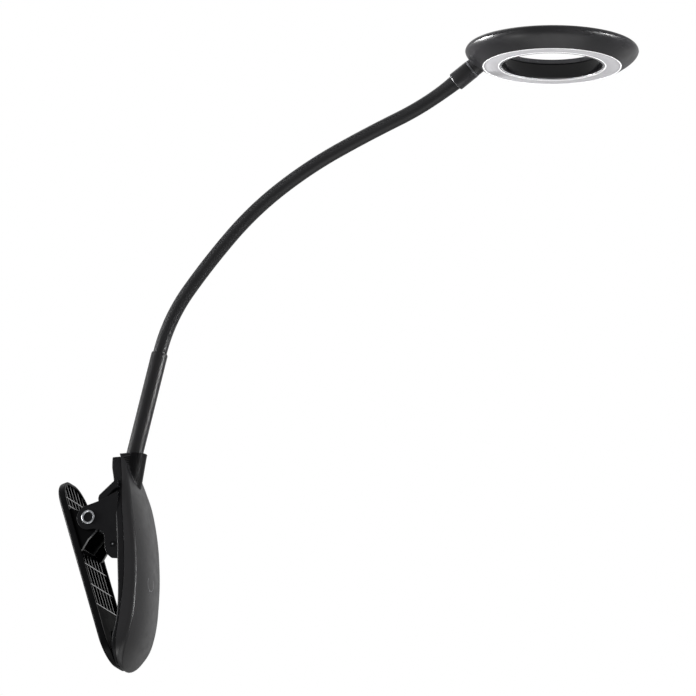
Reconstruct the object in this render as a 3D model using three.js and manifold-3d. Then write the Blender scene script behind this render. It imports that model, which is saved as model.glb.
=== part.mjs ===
// A clip-on reading lamp: a sprung clamp whose front body holds the battery and the touch control,
// a bendable neck, and a flat ring head with a downward light. Millimetres. +Z is up, +X is the way
// the neck arches, and the lamp is symmetric about the plane Y = 0 but for its inlet.
import * as THREE from "three";
import { mergeVertices } from "three/addons/utils/BufferGeometryUtils.js";
import Module from "manifold-3d";

const wasm = await Module();
wasm.setup();

// ---- clearances -------------------------------------------------------------------------------
const GAP = 0.3; // between pieces that touch
const SEAM_GAP = 0.3; // between the two halves of the clip body
const SWING_GAP = 0.6; // beside pieces that turn

// ---- clip body --------------------------------------------------------------------------------
const CLIP_HALF_WIDTH = 19;
const BODY_BOTTOM = -60.5;
const BODY_TOP = 57;
const BOTTOM_CORNER = CLIP_HALF_WIDTH - 2;
const FRONT_CROWN = 2;
const FRONT_CORNER = 3;
const REAR_CORNER = 1.1;
const FRONT_WALL = 1.8;
const REAR_WALL = 1.6;
const REAR_BOTTOM = BODY_BOTTOM + 2;

// ---- pin, ears and lever ----------------------------------------------------------------------
const PIN_X = -21.2;
const PIN_Z = 22.3;
const PIN_RADIUS = 3.1;
const PIN_BORE = PIN_RADIUS - 0.6;
const PIN_HEAD_RADIUS = PIN_RADIUS + 0.8;
const PIN_HEAD_THICK = 0.8;
const EAR_RADIUS = PIN_RADIUS + 3.7;
const EAR_OUTSIDE = CLIP_HALF_WIDTH - 0.4;
const EAR_THICK = 2.4;
const LUG_THICK = 2.2;
const LEVER_HALF_WIDTH = CLIP_HALF_WIDTH - 0.3;
const LEVER_TOP = -28; // measured down the lever from the pin
const LEVER_TIP = 81;
const LEVER_TOP_CORNER = LEVER_HALF_WIDTH - 3.2;
const LEVER_TIP_CORNER = LEVER_HALF_WIDTH - 3.7;
const LEVER_BACK = -13.5; // measured forward from the pin, square to the lever
const LEVER_RIM = -9.2;
const LEVER_FLOOR = 1.8;
const LEVER_WALL = 1.6;
const RIB_THICK = 0.8;
const RIB_DROP = 0.8; // rib tops below the rim
const RIBS_ALONG = 6;
const LEVER_PAD_START = LEVER_TIP - 27;
const RIB_FIELD_TOP = 24;
const RIBS_ACROSS = [0, 0.378, 0.756].map((t) => RIB_FIELD_TOP + t * (LEVER_PAD_START - RIB_FIELD_TOP));
const THUMB_RIBS_ACROSS = [LEVER_TOP + 11, LEVER_TOP + 16];
const THUMB_RIBS_END = LEVER_TOP + 19;
const LOW_RIB = 14.7; // a low rib on the floor below the lugs
const LEVER_PAD_DROP = 0.7; // pad face below the rim
const SPRING_WIRE = 0.7;
const SPRING_COIL = PIN_RADIUS + 1.4;
const SPRING_TURNS = 5;
const SPRING_HALF_LENGTH = 5.4;
const SPRING_REST_GAP = 1.6; // between the leg and the pin it rests on when the clip opens
const SPRING_FOOT = 12.4; // down the lever to the other leg's end
const REST_PIN = [-7.1, 6.2];
const REST_PIN_RADIUS = 1.1;

// ---- jaw pad of the body ----------------------------------------------------------------------
const JAW_FACE = -8.8;
const JAW_PAD_THICK = 1.5;
const JAW_PAD_TOP = -41.5;
const JAW_PAD_SPLIT = -47.5;
const JAW_PAD_END = -55.5;
const JAW_ORIGIN = (JAW_PAD_TOP + JAW_PAD_SPLIT) / 2;
const JAW_PAD_INSET = 2.8; // from the body's side to the pad's side
const TIP_TRIM = 0.35; // from the pad's face to the trimmed tip of the lever
// Degrees the closed lever leans from upright, so that its tip meets the body's jaw.
const LEVER_TILT = THREE.MathUtils.radToDeg(
  Math.asin((JAW_FACE + 1.5 - PIN_X) / Math.hypot(LEVER_TIP, LEVER_RIM)) + Math.atan(-LEVER_RIM / LEVER_TIP),
);

// ---- neck -------------------------------------------------------------------------------------
const NECK_BASE = [-1.8, 59.4];
const NECK_HEADING = 75.2; // degrees above level where the neck leaves the clip
const BOSS_LENGTH = 24;
const THICK_SLEEVE_LENGTH = 57.7;
const THICK_SLEEVE_SUNK = 4;
const SLEEVE_RADIUS = 3.75;
const THICK_SLEEVE_RADIUS = SLEEVE_RADIUS + 0.75;
const BOSS_RADIUS = THICK_SLEEVE_RADIUS + 2.3; // at the mouth; it widens down into the body
const BOSS_FLARE = 0.075; // added radius for each millimetre down
const SLEEVE_WALL = 0.9;
const CORE_RADIUS = SLEEVE_RADIUS - SLEEVE_WALL - GAP;
const CORE_WALL = 0.9;
const WIRE_RADIUS = CORE_RADIUS - CORE_WALL - 0.75;
const WIRE_BORE = WIRE_RADIUS + 0.7;
const SLEEVE_FLARE = 0.45; // where the last link meets the collar
const LINK_LENGTH = 37.55;
const LINK_TURNS = [-23.6, -5.7, -12.6, -9.2, -3.2, 13.5];
const BEND_LIMIT = 20; // degrees each way at one neck hinge
const SLEEVE_SIDES = 12;
const CORE_SIDES = 8;
const FERRULE_RADIUS = CORE_RADIUS + 1.05;
const FERRULE_LENGTH = 5;

// ---- head -------------------------------------------------------------------------------------
const HEAD_RADIUS = 46.9;
const RIM_AHEAD = 9.07; // from the neck's end forward to the ring's near edge
const UNDERSIDE_ABOVE = 3.5; // from the neck's end up to the ring's underside
const HEAD_HEIGHT = 11.2;
const BELT_HEIGHT = HEAD_HEIGHT - 2.8; // where the ring is widest
const LIGHT_OUTER = HEAD_RADIUS - 9.2;
const HOLE_BOTTOM = LIGHT_OUTER - 10.1;
const HOLE_TOP = HOLE_BOTTOM - 0.8;
const FLANK_SWELL = 0.8; // 0 is a plain cone from the light ring to the belt, 1 a full round
const HEAD_WALL = 1.6;
const TOP_ROUND = 3;
const BEZEL_WALL = 1.3;
const BEZEL_LIP = 0.6; // how far the bezel's foot reaches under the wall
const BEZEL_HEIGHT = HEAD_HEIGHT - 2.8;
const RING_EDGE = 0.6; // housing left outside the light ring
const BOARD_HEIGHT = HEAD_HEIGHT - 4.8;
const BOARD_THICK = 1.2;
const LED_COUNT = 12;
const LED_SIZE = [2.8, 3.5, 1];
const HEAD_SCREWS = 3;
const HEAD_SCREW = 1.8; // radius of the screw's head
const HEAD_THREAD = 0.8;
const HEAD_POST = 2.2;
const COLLAR_RADIUS = FERRULE_RADIUS + 1.6;
const COLLAR_LENGTH = 15.5;
const SPIGOT_RADIUS = COLLAR_RADIUS - 1.7;
const HEAD_SEGMENTS = 48;
const RING_SEGMENTS = 40;

// ---- small helpers ----------------------------------------------------------------------------
const radians = THREE.MathUtils.degToRad;
const at = (x, y, z) => new THREE.Vector3(x, y, z);
const lamp = new THREE.Group();
lamp.name = "clip_reading_lamp";

const SATIN_BLACK = [0x1d1d1f, 0.42, 0];
const GLOSS_BLACK = [0x101012, 0.2, 0];
const RUBBER = [0x17181a, 0.7, 0];
const STEEL = [0xb9bcc0, 0.3, 1];
const BRASS = [0xb89a55, 0.35, 1];
const COPPER = [0xb87333, 0.4, 1];
const BOARD_GREEN = [0x1f5a3a, 0.5, 0];
const WHITE_BOARD = [0xe8e8e4, 0.4, 0];
const FROSTED = [0xd9dadc, 0.45, 0];
const FOIL = [0x8f98a3, 0.4, 0.6];
const FOAM = [0x2b2b2b, 0.95, 0];
const MARK_GREY = [0xb8b8bc, 0.5, 0];
const RED_WIRE = [0xa02020, 0.6, 0];
const BLACK_WIRE = [0x202020, 0.6, 0];

function piece(name, geometry, [color, roughness, metalness]) {
  const flat = geometry.index ? geometry.toNonIndexed() : geometry;
  flat.computeVertexNormals();
  const mesh = new THREE.Mesh(flat, new THREE.MeshStandardMaterial({ color, roughness, metalness }));
  mesh.name = name;
  lamp.add(mesh);
  return mesh;
}

// A smooth curve through [z, value] pairs, given as a function of z.
function profile(pairs) {
  const slope = pairs.map((_, i) => {
    const [z0, v0] = pairs[Math.max(i - 1, 0)];
    const [z1, v1] = pairs[Math.min(i + 1, pairs.length - 1)];
    return (v1 - v0) / (z1 - z0);
  });
  return (z) => {
    let i = 0;
    while (i < pairs.length - 2 && z > pairs[i + 1][0]) i += 1;
    const span = pairs[i + 1][0] - pairs[i][0];
    const t = THREE.MathUtils.clamp((z - pairs[i][0]) / span, 0, 1);
    const rise = t * t * (3 - 2 * t);
    const ease = t * (1 - t) * span;
    return (
      pairs[i][1] * (1 - rise) + pairs[i + 1][1] * rise +
      ease * ((1 - t) * slope[i] - t * slope[i + 1])
    );
  };
}

function signedVolume(positions, index) {
  const corner = (k) => at().fromBufferAttribute(positions, index[k]);
  let volume = 0;
  for (let k = 0; k < index.length; k += 3) {
    volume += corner(k).dot(corner(k + 1).cross(corner(k + 2)));
  }
  return volume;
}

// The same body as an indexed mesh whose faces all look outwards.
function outward(geometry) {
  const plain = geometry.clone();
  plain.deleteAttribute("normal");
  plain.deleteAttribute("uv");
  const merged = mergeVertices(plain, 1e-4);
  const index = Array.from(merged.index.array);
  if (signedVolume(merged.attributes.position, index) < 0) {
    for (let k = 0; k < index.length; k += 3) [index[k], index[k + 1]] = [index[k + 1], index[k]];
  }
  merged.setIndex(index);
  return merged;
}

function solid(geometry) {
  const mesh = outward(geometry);
  return new wasm.Manifold(
    new wasm.Mesh({
      numProp: 3,
      vertProperties: mesh.attributes.position.array,
      triVerts: new Uint32Array(mesh.index.array),
    }),
  );
}

function geometryOf(manifold) {
  const mesh = manifold.getMesh();
  const geometry = new THREE.BufferGeometry();
  geometry.setAttribute("position", new THREE.BufferAttribute(new Float32Array(mesh.vertProperties), 3));
  geometry.setIndex(Array.from(mesh.triVerts));
  return geometry;
}

const joined = (first, ...rest) =>
  geometryOf(rest.reduce((sum, next) => sum.add(solid(next)), solid(first)));
const cut = (first, ...rest) =>
  geometryOf(rest.reduce((left, next) => left.subtract(solid(next)), solid(first)));
const common = (first, second) => geometryOf(solid(first).intersect(solid(second)));

// A body through rings of points. An open run is capped at both ends; a looped one closes on itself.
function loft(rings, looped = false) {
  const count = rings[0].length;
  const points = rings.flat();
  const index = [];
  const bands = looped ? rings.length : rings.length - 1;
  for (let i = 0; i < bands; i += 1) {
    const low = i * count;
    const high = ((i + 1) % rings.length) * count;
    for (let k = 0; k < count; k += 1) {
      const next = (k + 1) % count;
      index.push(low + k, low + next, high + next, low + k, high + next, high + k);
    }
  }
  if (!looped) {
    for (const [ring, start, turn] of [[rings[0], 0, 1], [rings.at(-1), points.length - count, 0]]) {
      const middle = ring.reduce((sum, p) => sum.add(p), at(0, 0, 0)).divideScalar(count);
      points.push(middle);
      for (let k = 0; k < count; k += 1) {
        const pair = [start + k, start + ((k + 1) % count)];
        index.push(points.length - 1, pair[turn], pair[1 - turn]);
      }
    }
  }
  const geometry = new THREE.BufferGeometry().setFromPoints(points);
  geometry.setIndex(index);
  return outward(geometry);
}

// A turned body about +Z from [radius, height] pairs.
function turned(pairs, segments = 24) {
  const outline = pairs.map(([r, h]) => new THREE.Vector2(r, h));
  return outward(new THREE.LatheGeometry(outline, segments).rotateX(Math.PI / 2));
}

const closed = (pairs) => [...pairs, pairs[0]];
const rod = (radius, low, high, segments = 20) =>
  turned([[0, low], [radius, low], [radius, high], [0, high]], segments);
const tube = (outer, inner, low, high, segments = 20) =>
  turned(closed([[inner, low], [outer, low], [outer, high], [inner, high]]), segments);

function box(lowX, highX, lowY, highY, lowZ, highZ) {
  const block = new THREE.BoxGeometry(highX - lowX, highY - lowY, highZ - lowZ);
  return block.translate((lowX + highX) / 2, (lowY + highY) / 2, (lowZ + highZ) / 2);
}

// A plate with an outline in X and Z, from lowY to highY.
function plate(outline, lowY, highY) {
  const shape = new THREE.Shape(outline.map(([x, z]) => new THREE.Vector2(x, z)));
  const flat = new THREE.ExtrudeGeometry(shape, { depth: highY - lowY, bevelEnabled: false });
  return outward(flat.rotateX(Math.PI / 2).translate(0, highY, 0));
}

// Turns a body that stands on +Z to point along a direction from a place.
function aimed(geometry, place, direction) {
  const turn = new THREE.Quaternion().setFromUnitVectors(at(0, 0, 1), direction.clone().normalize());
  return geometry.clone().applyQuaternion(turn).translate(place.x, place.y, place.z);
}
const alongY = (geometry, x, z) => aimed(geometry, at(x, 0, z), at(0, 1, 0));
const alongX = (geometry, y, z) => aimed(geometry, at(0, y, z), at(1, 0, 0));

function arc(centreX, centreZ, radius, from, to, steps) {
  return Array.from({ length: steps + 1 }, (_, k) => {
    const angle = radians(from + ((to - from) * k) / steps);
    return [centreX + radius * Math.cos(angle), centreZ + radius * Math.sin(angle)];
  });
}

function wire(points, radius, steps, sides = 6) {
  const path = new THREE.CatmullRomCurve3(points);
  const circle = new THREE.Shape(
    arc(0, 0, radius, 0, 360 - 360 / sides, sides - 1).map(([x, y]) => new THREE.Vector2(x, y)),
  );
  return outward(new THREE.ExtrudeGeometry(circle, { steps, extrudePath: path, bevelEnabled: false }));
}

// ---- clip body: the two halves ----------------------------------------------------------------
const seamAt = profile([
  [-60.5, -7.4], [-54, -6.4], [-44, -4.8], [-28, -2.3], [-14, -0.7], [0, -0.4],
  [14, -0.8], [25, -1.7], [42, -3.8], [50, -5.4], [62, -8.4],
]);
const frontAt = profile([
  [-60.5, -6], [-57, -3.4], [-53, -0.9], [-47, 2.4], [-40, 4.8], [-33, 6.3], [-25, 7.2], [-10, 8],
  [5, 7.6], [14, 6.8], [24, 5.3], [33, 3.5], [40, 1.4], [50, -1.8], [57, -4.4],
]);
const rearAt = profile([
  [-58.5, -8.4], [-50, -8.2], [-44, -7.2], [-38, -5.6], [-30, -4.5], [-20, -4.1], [-5, -4.4],
  [14, -4.9], [33, -6.5], [44, -9], [52, -11.4], [57, -12],
]);
// Share of the half width kept at each height of the shoulders.
const shoulderAt = profile([[16, 1], [26, 0.974], [34, 0.889], [42, 0.737], [50, 0.547], [57, 0.379]]);
const SHOULDER = 16;

function halfWidthAt(z) {
  const up = BODY_BOTTOM + BOTTOM_CORNER - z;
  if (up > 0) return CLIP_HALF_WIDTH - BOTTOM_CORNER + Math.sqrt(Math.max(BOTTOM_CORNER ** 2 - up ** 2, 0));
  return CLIP_HALF_WIDTH * (z > SHOULDER ? Math.min(shoulderAt(z), 1) : 1);
}

// One level of a body half: flat on the seam, with rounded corners and a crowned far face.
function halfRing(z, halfWidth, flat, far, corner, crown) {
  const way = Math.sign(far - flat);
  const bulge = crown * (halfWidth / CLIP_HALF_WIDTH) ** 2;
  const depth = Math.abs(far - flat);
  const radius = Math.min(corner, (depth - bulge) * 0.8, halfWidth * 0.6);
  const flatHalf = halfWidth - radius;
  const edge = depth - bulge * (flatHalf / halfWidth) ** 2 - radius;
  const near = [[0, -halfWidth]];
  for (let k = 0; k <= 4; k += 1) {
    const angle = (k * Math.PI) / 8;
    near.push([edge + radius * Math.sin(angle), -halfWidth + radius * (1 - Math.cos(angle))]);
  }
  near.push([depth - bulge * (flatHalf / halfWidth / 2) ** 2, -flatHalf / 2]);
  const across = near.map(([x, y]) => [x, -y]).reverse();
  return [...near, [depth, 0], ...across].map(([x, y]) => at(flat + way * x, y, z));
}

const BODY_LEVELS = [
  -60.5, -60.1, -58.8, -56.5, -53.5, -49, -43.5, -37, -30, -20, -8, 4, 15, 24, 32, 39, 45, 51, 57,
];
const CAVITY_LEVELS = [-53, -49, -43.5, -37, -26, -12, 2, 14, 24, 30, 35];

const bodyHalf = (levels, far, way, corner, crown) =>
  loft(levels.map((z) => halfRing(z, halfWidthAt(z), seamAt(z) - 0.5 * way, far(z), corner, crown)));

function cavity(levels, far, sideLost, through, crown) {
  return loft(
    levels.map((z) =>
      halfRing(z, halfWidthAt(z) - sideLost, seamAt(z) + through, far(z), 1.5, crown),
    ),
  );
}

// Everything on one side of the seam surface.
function sideOfSeam(way) {
  return loft(
    [-62, ...BODY_LEVELS.slice(1, -1), 62].map((z) => {
      const near = seamAt(z) + (way * SEAM_GAP) / 2;
      return [at(near, -40, z), at(near, 40, z), at(way * 50, 40, z), at(way * 50, -40, z)];
    }),
  );
}

const headingVector = (heading) => at(Math.cos(radians(heading)), 0, Math.sin(radians(heading)));
const neckAxis = headingVector(NECK_HEADING);
const neckPlace = (along) => at(NECK_BASE[0], 0, NECK_BASE[1]).addScaledVector(neckAxis, along);
const onNeck = (geometry) => aimed(geometry, neckPlace(0), neckAxis);

const boss = onNeck(
  turned([
    [0, -BOSS_LENGTH], [BOSS_RADIUS + BOSS_FLARE * BOSS_LENGTH, -BOSS_LENGTH], [BOSS_RADIUS, -0.9],
    [BOSS_RADIUS - 0.4, -0.2], [BOSS_RADIUS - 1, 0], [0, 0],
  ], 32),
);
const ferruleTop = -THICK_SLEEVE_SUNK - GAP;
const ferruleEnd = ferruleTop - FERRULE_LENGTH;
const neckBore = onNeck(
  turned([
    [0, -BOSS_LENGTH - 8], [WIRE_BORE, -BOSS_LENGTH - 8], [WIRE_BORE, ferruleEnd - GAP],
    [FERRULE_RADIUS + GAP, ferruleEnd - GAP], [FERRULE_RADIUS + GAP, -THICK_SLEEVE_SUNK - GAP / 2],
    [THICK_SLEEVE_RADIUS + GAP, -THICK_SLEEVE_SUNK - GAP / 2], [THICK_SLEEVE_RADIUS + GAP, 2], [0, 2],
  ], 24),
);

// Screws that hold the halves: [y, z, head seat, end of the thread]
const HIGH_SCREW_Y = 0.442 * CLIP_HALF_WIDTH;
const LOW_SCREW_Y = CLIP_HALF_WIDTH - 8;
const HOUSING_SCREWS = [-1, 1].flatMap((side) => [
  [side * HIGH_SCREW_Y, 45.2, -6.9, -1.9], [side * LOW_SCREW_Y, -32.6, -3.2, 3.4],
]);
const SCREW_RADIUS = 1;
const SCREW_HEAD = 1.9;
const SCREW_HEAD_THICK = 1.2;
const POST_RADIUS = 2.7;

const SOCKET = { x: [-3.1, 0], z: [15.6, 24.4], y: [CLIP_HALF_WIDTH - 7.4, CLIP_HALF_WIDTH - 0.3] };
const SOCKET_SHEET = 0.35;
const BOARD = { x: [0.3, 1.5], y: CLIP_HALF_WIDTH - 6, z: [12.5, 28] };
// Chips on the board: [height, y from and to, z from and to]
const BOARD_CHIPS = [[0.9, -6, -1, 16, 21], [0.6, 3, 6, 23, 25], [0.6, -10, -7, 22, 25]];
const CELL = { x: [-0.5, 3.5], y: CLIP_HALF_WIDTH - 5, z: [-28.5, 8.5] };
const CELL_FOAM = { x: [-2.2, -0.8], y: CLIP_HALF_WIDTH - 7, z: [-26, 6] };
const OUTSIDE = CLIP_HALF_WIDTH + 6; // beyond the clip's side
const socketHole = box(
  SOCKET.x[0] - GAP, SOCKET.x[1] + GAP, SOCKET.y[0] + 3, OUTSIDE, SOCKET.z[0] - GAP, SOCKET.z[1] + GAP,
);

const MARK_Z = -13.2;
const MARK_RADIUS = 4.4;
const MARK_LINE = 0.8;
const ELECTRODE_RADIUS = 6;
const ELECTRODE_THICK = 0.3;
const ELECTRODE_SET_BACK = 1.1;
const MARK_START = 145; // degrees; the loop is open at the top
const MARK_END = 395;
function markLoop(grow, lowX, highX) {
  const open = 2 * grow;
  const [from, to] = [MARK_START - open, MARK_END + open];
  const outer = arc(0, 0, MARK_RADIUS + grow, from, to, 16);
  const inner = arc(0, 0, MARK_RADIUS - MARK_LINE - grow, to, from, 16);
  const shape = new THREE.Shape([...outer, ...inner].map(([a, b]) => new THREE.Vector2(a, b)));
  const flat = new THREE.ExtrudeGeometry(shape, { depth: highX - lowX, bevelEnabled: false });
  return outward(flat.rotateX(Math.PI / 2).rotateZ(Math.PI / 2).translate(lowX, 0, MARK_Z));
}

function frontShell() {
  const outer = bodyHalf(BODY_LEVELS, frontAt, 1, FRONT_CORNER, FRONT_CROWN);
  const slopeLoss = (z) => FRONT_WALL * Math.hypot(1, frontAt(z + 0.5) - frontAt(z - 0.5));
  const hollow = cavity(CAVITY_LEVELS, (z) => frontAt(z) - slopeLoss(z), FRONT_WALL, -4, FRONT_CROWN);
  const posts = HOUSING_SCREWS.map(([y, z, , end]) =>
    common(alongX(rod(POST_RADIUS, -12, end + 4, 12), y, z), outer),
  );
  const pilots = HOUSING_SCREWS.map(([y, z, , end]) =>
    alongX(rod(SCREW_RADIUS + GAP, -20, end + GAP, 8), y, z),
  );
  const skin = common(joined(cut(outer, hollow), boss, ...posts), sideOfSeam(1));
  return cut(skin, neckBore, ...pilots, socketHole, setScrew(GAP), markCutter());
}

const setScrewWay = at(-neckAxis.z, 0, neckAxis.x);
function setScrew(extra) {
  const place = neckPlace(ferruleEnd + FERRULE_LENGTH / 2);
  const low = FERRULE_RADIUS + GAP / 2 - extra;
  return aimed(rod(1.2 + extra, low, BOSS_RADIUS + (extra ? 0.6 : 0.2), 12), place, setScrewWay);
}

const markFace = frontAt(MARK_Z);
function markCutter() {
  return markLoop(0.15, markFace - 0.7, markFace + 5);
}

const EAR_OUTLINE = [
  [-4, 35.8], [-5.3, 35.2], [-15.3, 30.9], ...arc(PIN_X, PIN_Z, EAR_RADIUS, 100, 285, 14),
  [-15.2, 15.2], [-12.6, 13], [-11.9, 9.5], [-11.8, 4.4], [-10.6, 1], [-8.2, -1.2], [-4, -1.8],
];
// A slanting web joins the ears above the pin.
const WEB_OUTLINE = [
  [-4.5, 42.6], [-6, 42.2], [-15.4, 34.4], [-16, 32.6], [-15.6, 30], [-13.4, 30.6], [-6, 37.4], [-4.5, 37.6],
];

function rearShell() {
  const levels = BODY_LEVELS.filter((z) => z > REAR_BOTTOM && z < BODY_TOP);
  const all = [REAR_BOTTOM, ...levels, BODY_TOP - 0.4];
  const outer = bodyHalf(all, rearAt, -1, REAR_CORNER, 0);
  const hollow = cavity(
    CAVITY_LEVELS.filter((z) => z > -41), (z) => rearAt(z) + REAR_WALL, REAR_WALL + 0.4, 4, 0,
  );
  const ears = [-1, 1].map((side) => {
    const inner = side * (EAR_OUTSIDE - EAR_THICK);
    const outerFace = side * EAR_OUTSIDE;
    return plate(EAR_OUTLINE, Math.min(inner, outerFace), Math.max(inner, outerFace));
  });
  const web = plate(WEB_OUTLINE, -EAR_OUTSIDE + 0.9, EAR_OUTSIDE - 0.9);
  const posts = HOUSING_SCREWS.map(([y, z]) =>
    common(alongX(rod(POST_RADIUS + 0.6, -12, 2, 12), y, z), outer),
  );
  const holes = HOUSING_SCREWS.flatMap(([y, z, seat]) => [
    alongX(rod(SCREW_RADIUS + GAP, -20, 8, 8), y, z),
    alongX(rod(SCREW_HEAD + GAP, -20, seat, 12), y, z),
  ]);
  const bores = [
    alongY(rod(PIN_RADIUS + GAP, -OUTSIDE, OUTSIDE, 20), PIN_X, PIN_Z),
    alongY(rod(REST_PIN_RADIUS + GAP, -OUTSIDE, OUTSIDE, 12), ...REST_PIN),
  ];
  const skin = common(joined(cut(outer, hollow), ...ears, web, ...posts), sideOfSeam(-1));
  return cut(skin, ...holes, ...bores, neckBore, socketHole, setScrew(GAP), jawPad(GAP));
}

// The soft pad of the body's jaw: its face is square to X.
function jawPad(grow) {
  const wide = CLIP_HALF_WIDTH - JAW_PAD_INSET;
  const levels = [
    [JAW_PAD_TOP, wide], [JAW_PAD_SPLIT, wide], [JAW_PAD_SPLIT - 4, wide - 1.8], [JAW_PAD_END, wide - 5.2],
  ];
  const rings = levels.map(([z, half], i) => {
    const w = half + grow;
    const height = z + (i === 0 ? grow : i === 3 ? -grow : 0);
    const [back, face] = [JAW_FACE + JAW_PAD_THICK + grow, grow ? JAW_FACE - 3 : JAW_FACE];
    return [at(back, -w, height), at(back, w, height), at(face, w, height), at(face, -w, height)];
  });
  return loft(rings);
}

// ---- lever ------------------------------------------------------------------------------------
const leverDown = at(Math.sin(radians(LEVER_TILT)), 0, -Math.cos(radians(LEVER_TILT)));
const leverOut = at(Math.cos(radians(LEVER_TILT)), 0, Math.sin(radians(LEVER_TILT)));
const onLever = (down, y, out) =>
  at(PIN_X, y, PIN_Z).addScaledVector(leverDown, down).addScaledVector(leverOut, out);

// Moves a body drawn with X down the lever and Z out of it on to the lever.
function seated(geometry) {
  const frame = new THREE.Matrix4().makeBasis(leverDown, at(0, -1, 0), leverOut);
  return outward(geometry.clone().applyMatrix4(frame).translate(PIN_X, 0, PIN_Z));
}

function trayOutline(inset) {
  const [top, tip] = [LEVER_TOP + inset, LEVER_TIP - inset];
  const half = LEVER_HALF_WIDTH - inset;
  const topCorner = LEVER_TOP_CORNER - inset;
  const tipCorner = LEVER_TIP_CORNER - inset;
  return [
    ...arc(tip - tipCorner, -half + tipCorner, tipCorner, 270, 360, 8),
    ...arc(tip - tipCorner, half - tipCorner, tipCorner, 0, 90, 8),
    ...arc(top + topCorner, half - topCorner, topCorner, 90, 180, 6),
    ...arc(top + topCorner, -half + topCorner, topCorner, 180, 270, 6),
  ];
}

// A slab with an outline seen square to the lever, between two heights out of it.
function slab(outline, low, high) {
  const shape = new THREE.Shape(outline.map(([a, b]) => new THREE.Vector2(a, b)));
  const flat = new THREE.ExtrudeGeometry(shape, { depth: high - low, bevelEnabled: false });
  return seated(flat.translate(0, 0, low));
}
const bar = (lowDown, highDown, lowY, highY, low, high) =>
  seated(box(lowDown, highDown, -highY, -lowY, low, high));

const trayFloor = LEVER_BACK + LEVER_FLOOR;
const lugInside = EAR_OUTSIDE - EAR_THICK - SWING_GAP / 2 - LUG_THICK;
const tipCut = () => box(JAW_FACE - TIP_TRIM, 40, -40, 40, PIN_Z - 2 * LEVER_TIP, PIN_Z - LEVER_TIP * 0.65);

// How far down the inside of the thumb end's wall is at y.
function thumbEdge(y) {
  const corner = LEVER_TOP_CORNER - LEVER_WALL;
  const past = Math.max(Math.abs(y) - (LEVER_HALF_WIDTH - LEVER_TOP_CORNER), 0);
  return LEVER_TOP + LEVER_TOP_CORNER - Math.sqrt(corner ** 2 - past ** 2) - LEVER_WALL / 2;
}

// Half the inside width of the thumb end at a place down the lever.
function thumbHalf(down) {
  const up = Math.max(LEVER_TOP + LEVER_TOP_CORNER - down, 0);
  const corner = LEVER_TOP_CORNER - LEVER_WALL;
  return LEVER_HALF_WIDTH - LEVER_TOP_CORNER + Math.sqrt(corner ** 2 - up ** 2) + LEVER_WALL / 4;
}

function leverRibs() {
  const top = LEVER_RIM - RIB_DROP;
  const reach = LEVER_HALF_WIDTH - LEVER_WALL + 0.3;
  const low = trayFloor - 0.5;
  const across = (down, peak, half = reach) =>
    bar(down - RIB_THICK / 2, down + RIB_THICK / 2, -half, half, low, peak);
  const spacing = (2 * (LEVER_HALF_WIDTH - LEVER_WALL)) / (RIBS_ALONG + 1);
  const ribs = RIBS_ACROSS.map((down) => across(down, top));
  for (const down of THUMB_RIBS_ACROSS) ribs.push(across(down, top, thumbHalf(down)));
  const last = LEVER_PAD_START - GAP - RIB_THICK / 2;
  ribs.push(across(last, top - RIB_THICK / 2), across(LOW_RIB, trayFloor + 0.5));
  for (let k = 1; k <= RIBS_ALONG; k += 1) {
    const y = -LEVER_HALF_WIDTH + LEVER_WALL + spacing * k;
    const [from, to] = [y - RIB_THICK / 2, y + RIB_THICK / 2];
    ribs.push(bar(RIB_FIELD_TOP, last, from, to, low, top));
    ribs.push(bar(thumbEdge(y), THUMB_RIBS_END, from, to, low, top));
  }
  return ribs;
}

function leverBody() {
  const tray = cut(
    slab(trayOutline(0), LEVER_BACK, LEVER_RIM),
    slab(trayOutline(LEVER_WALL), trayFloor, LEVER_RIM + 5),
  );
  const lugOutline = [
    [-10.5, trayFloor - 0.5], [-9.2, -8], ...arc(0, 0, EAR_RADIUS, 215, 45, 12),
    [8.2, 0.7], [10.7, -4.5], [14.9, -9.3], [15.4, trayFloor - 0.5],
  ].map(([down, out]) => {
    const p = onLever(down, 0, out);
    return [p.x, p.z];
  });
  const lugs = [
    plate(lugOutline, lugInside, lugInside + LUG_THICK),
    plate(lugOutline, -lugInside - LUG_THICK, -lugInside),
  ];
  const bore = alongY(rod(PIN_RADIUS + GAP, -OUTSIDE, OUTSIDE, 20), PIN_X, PIN_Z);
  return cut(joined(tray, ...leverRibs(), ...lugs), bore, tipCut());
}

function leverPad() {
  const low = trayFloor + GAP;
  const face = LEVER_RIM - LEVER_PAD_DROP;
  const corner = LEVER_TIP_CORNER - LEVER_WALL;
  const bend = LEVER_TIP - LEVER_TIP_CORNER; // where the tip's corners start
  const flatHalf = LEVER_HALF_WIDTH - LEVER_TIP_CORNER;
  const halfAt = (down) =>
    flatHalf + Math.sqrt(corner ** 2 - Math.max(down - bend, 0) ** 2) - 2 * GAP;
  const end = LEVER_TIP - LEVER_WALL;
  const levels = [LEVER_PAD_START, ...[13.4, 10.4, 6.4, 4, 1.2].map((short) => end - short)].map(
    (down, i) => [down, halfAt(down), i === 5 ? face - 0.75 : face],
  );
  return loft(
    levels.map(([down, w, out]) => [
      onLever(down, -w, low), onLever(down, w, low), onLever(down, w, out), onLever(down, -w, out),
    ]),
  );
}

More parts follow.
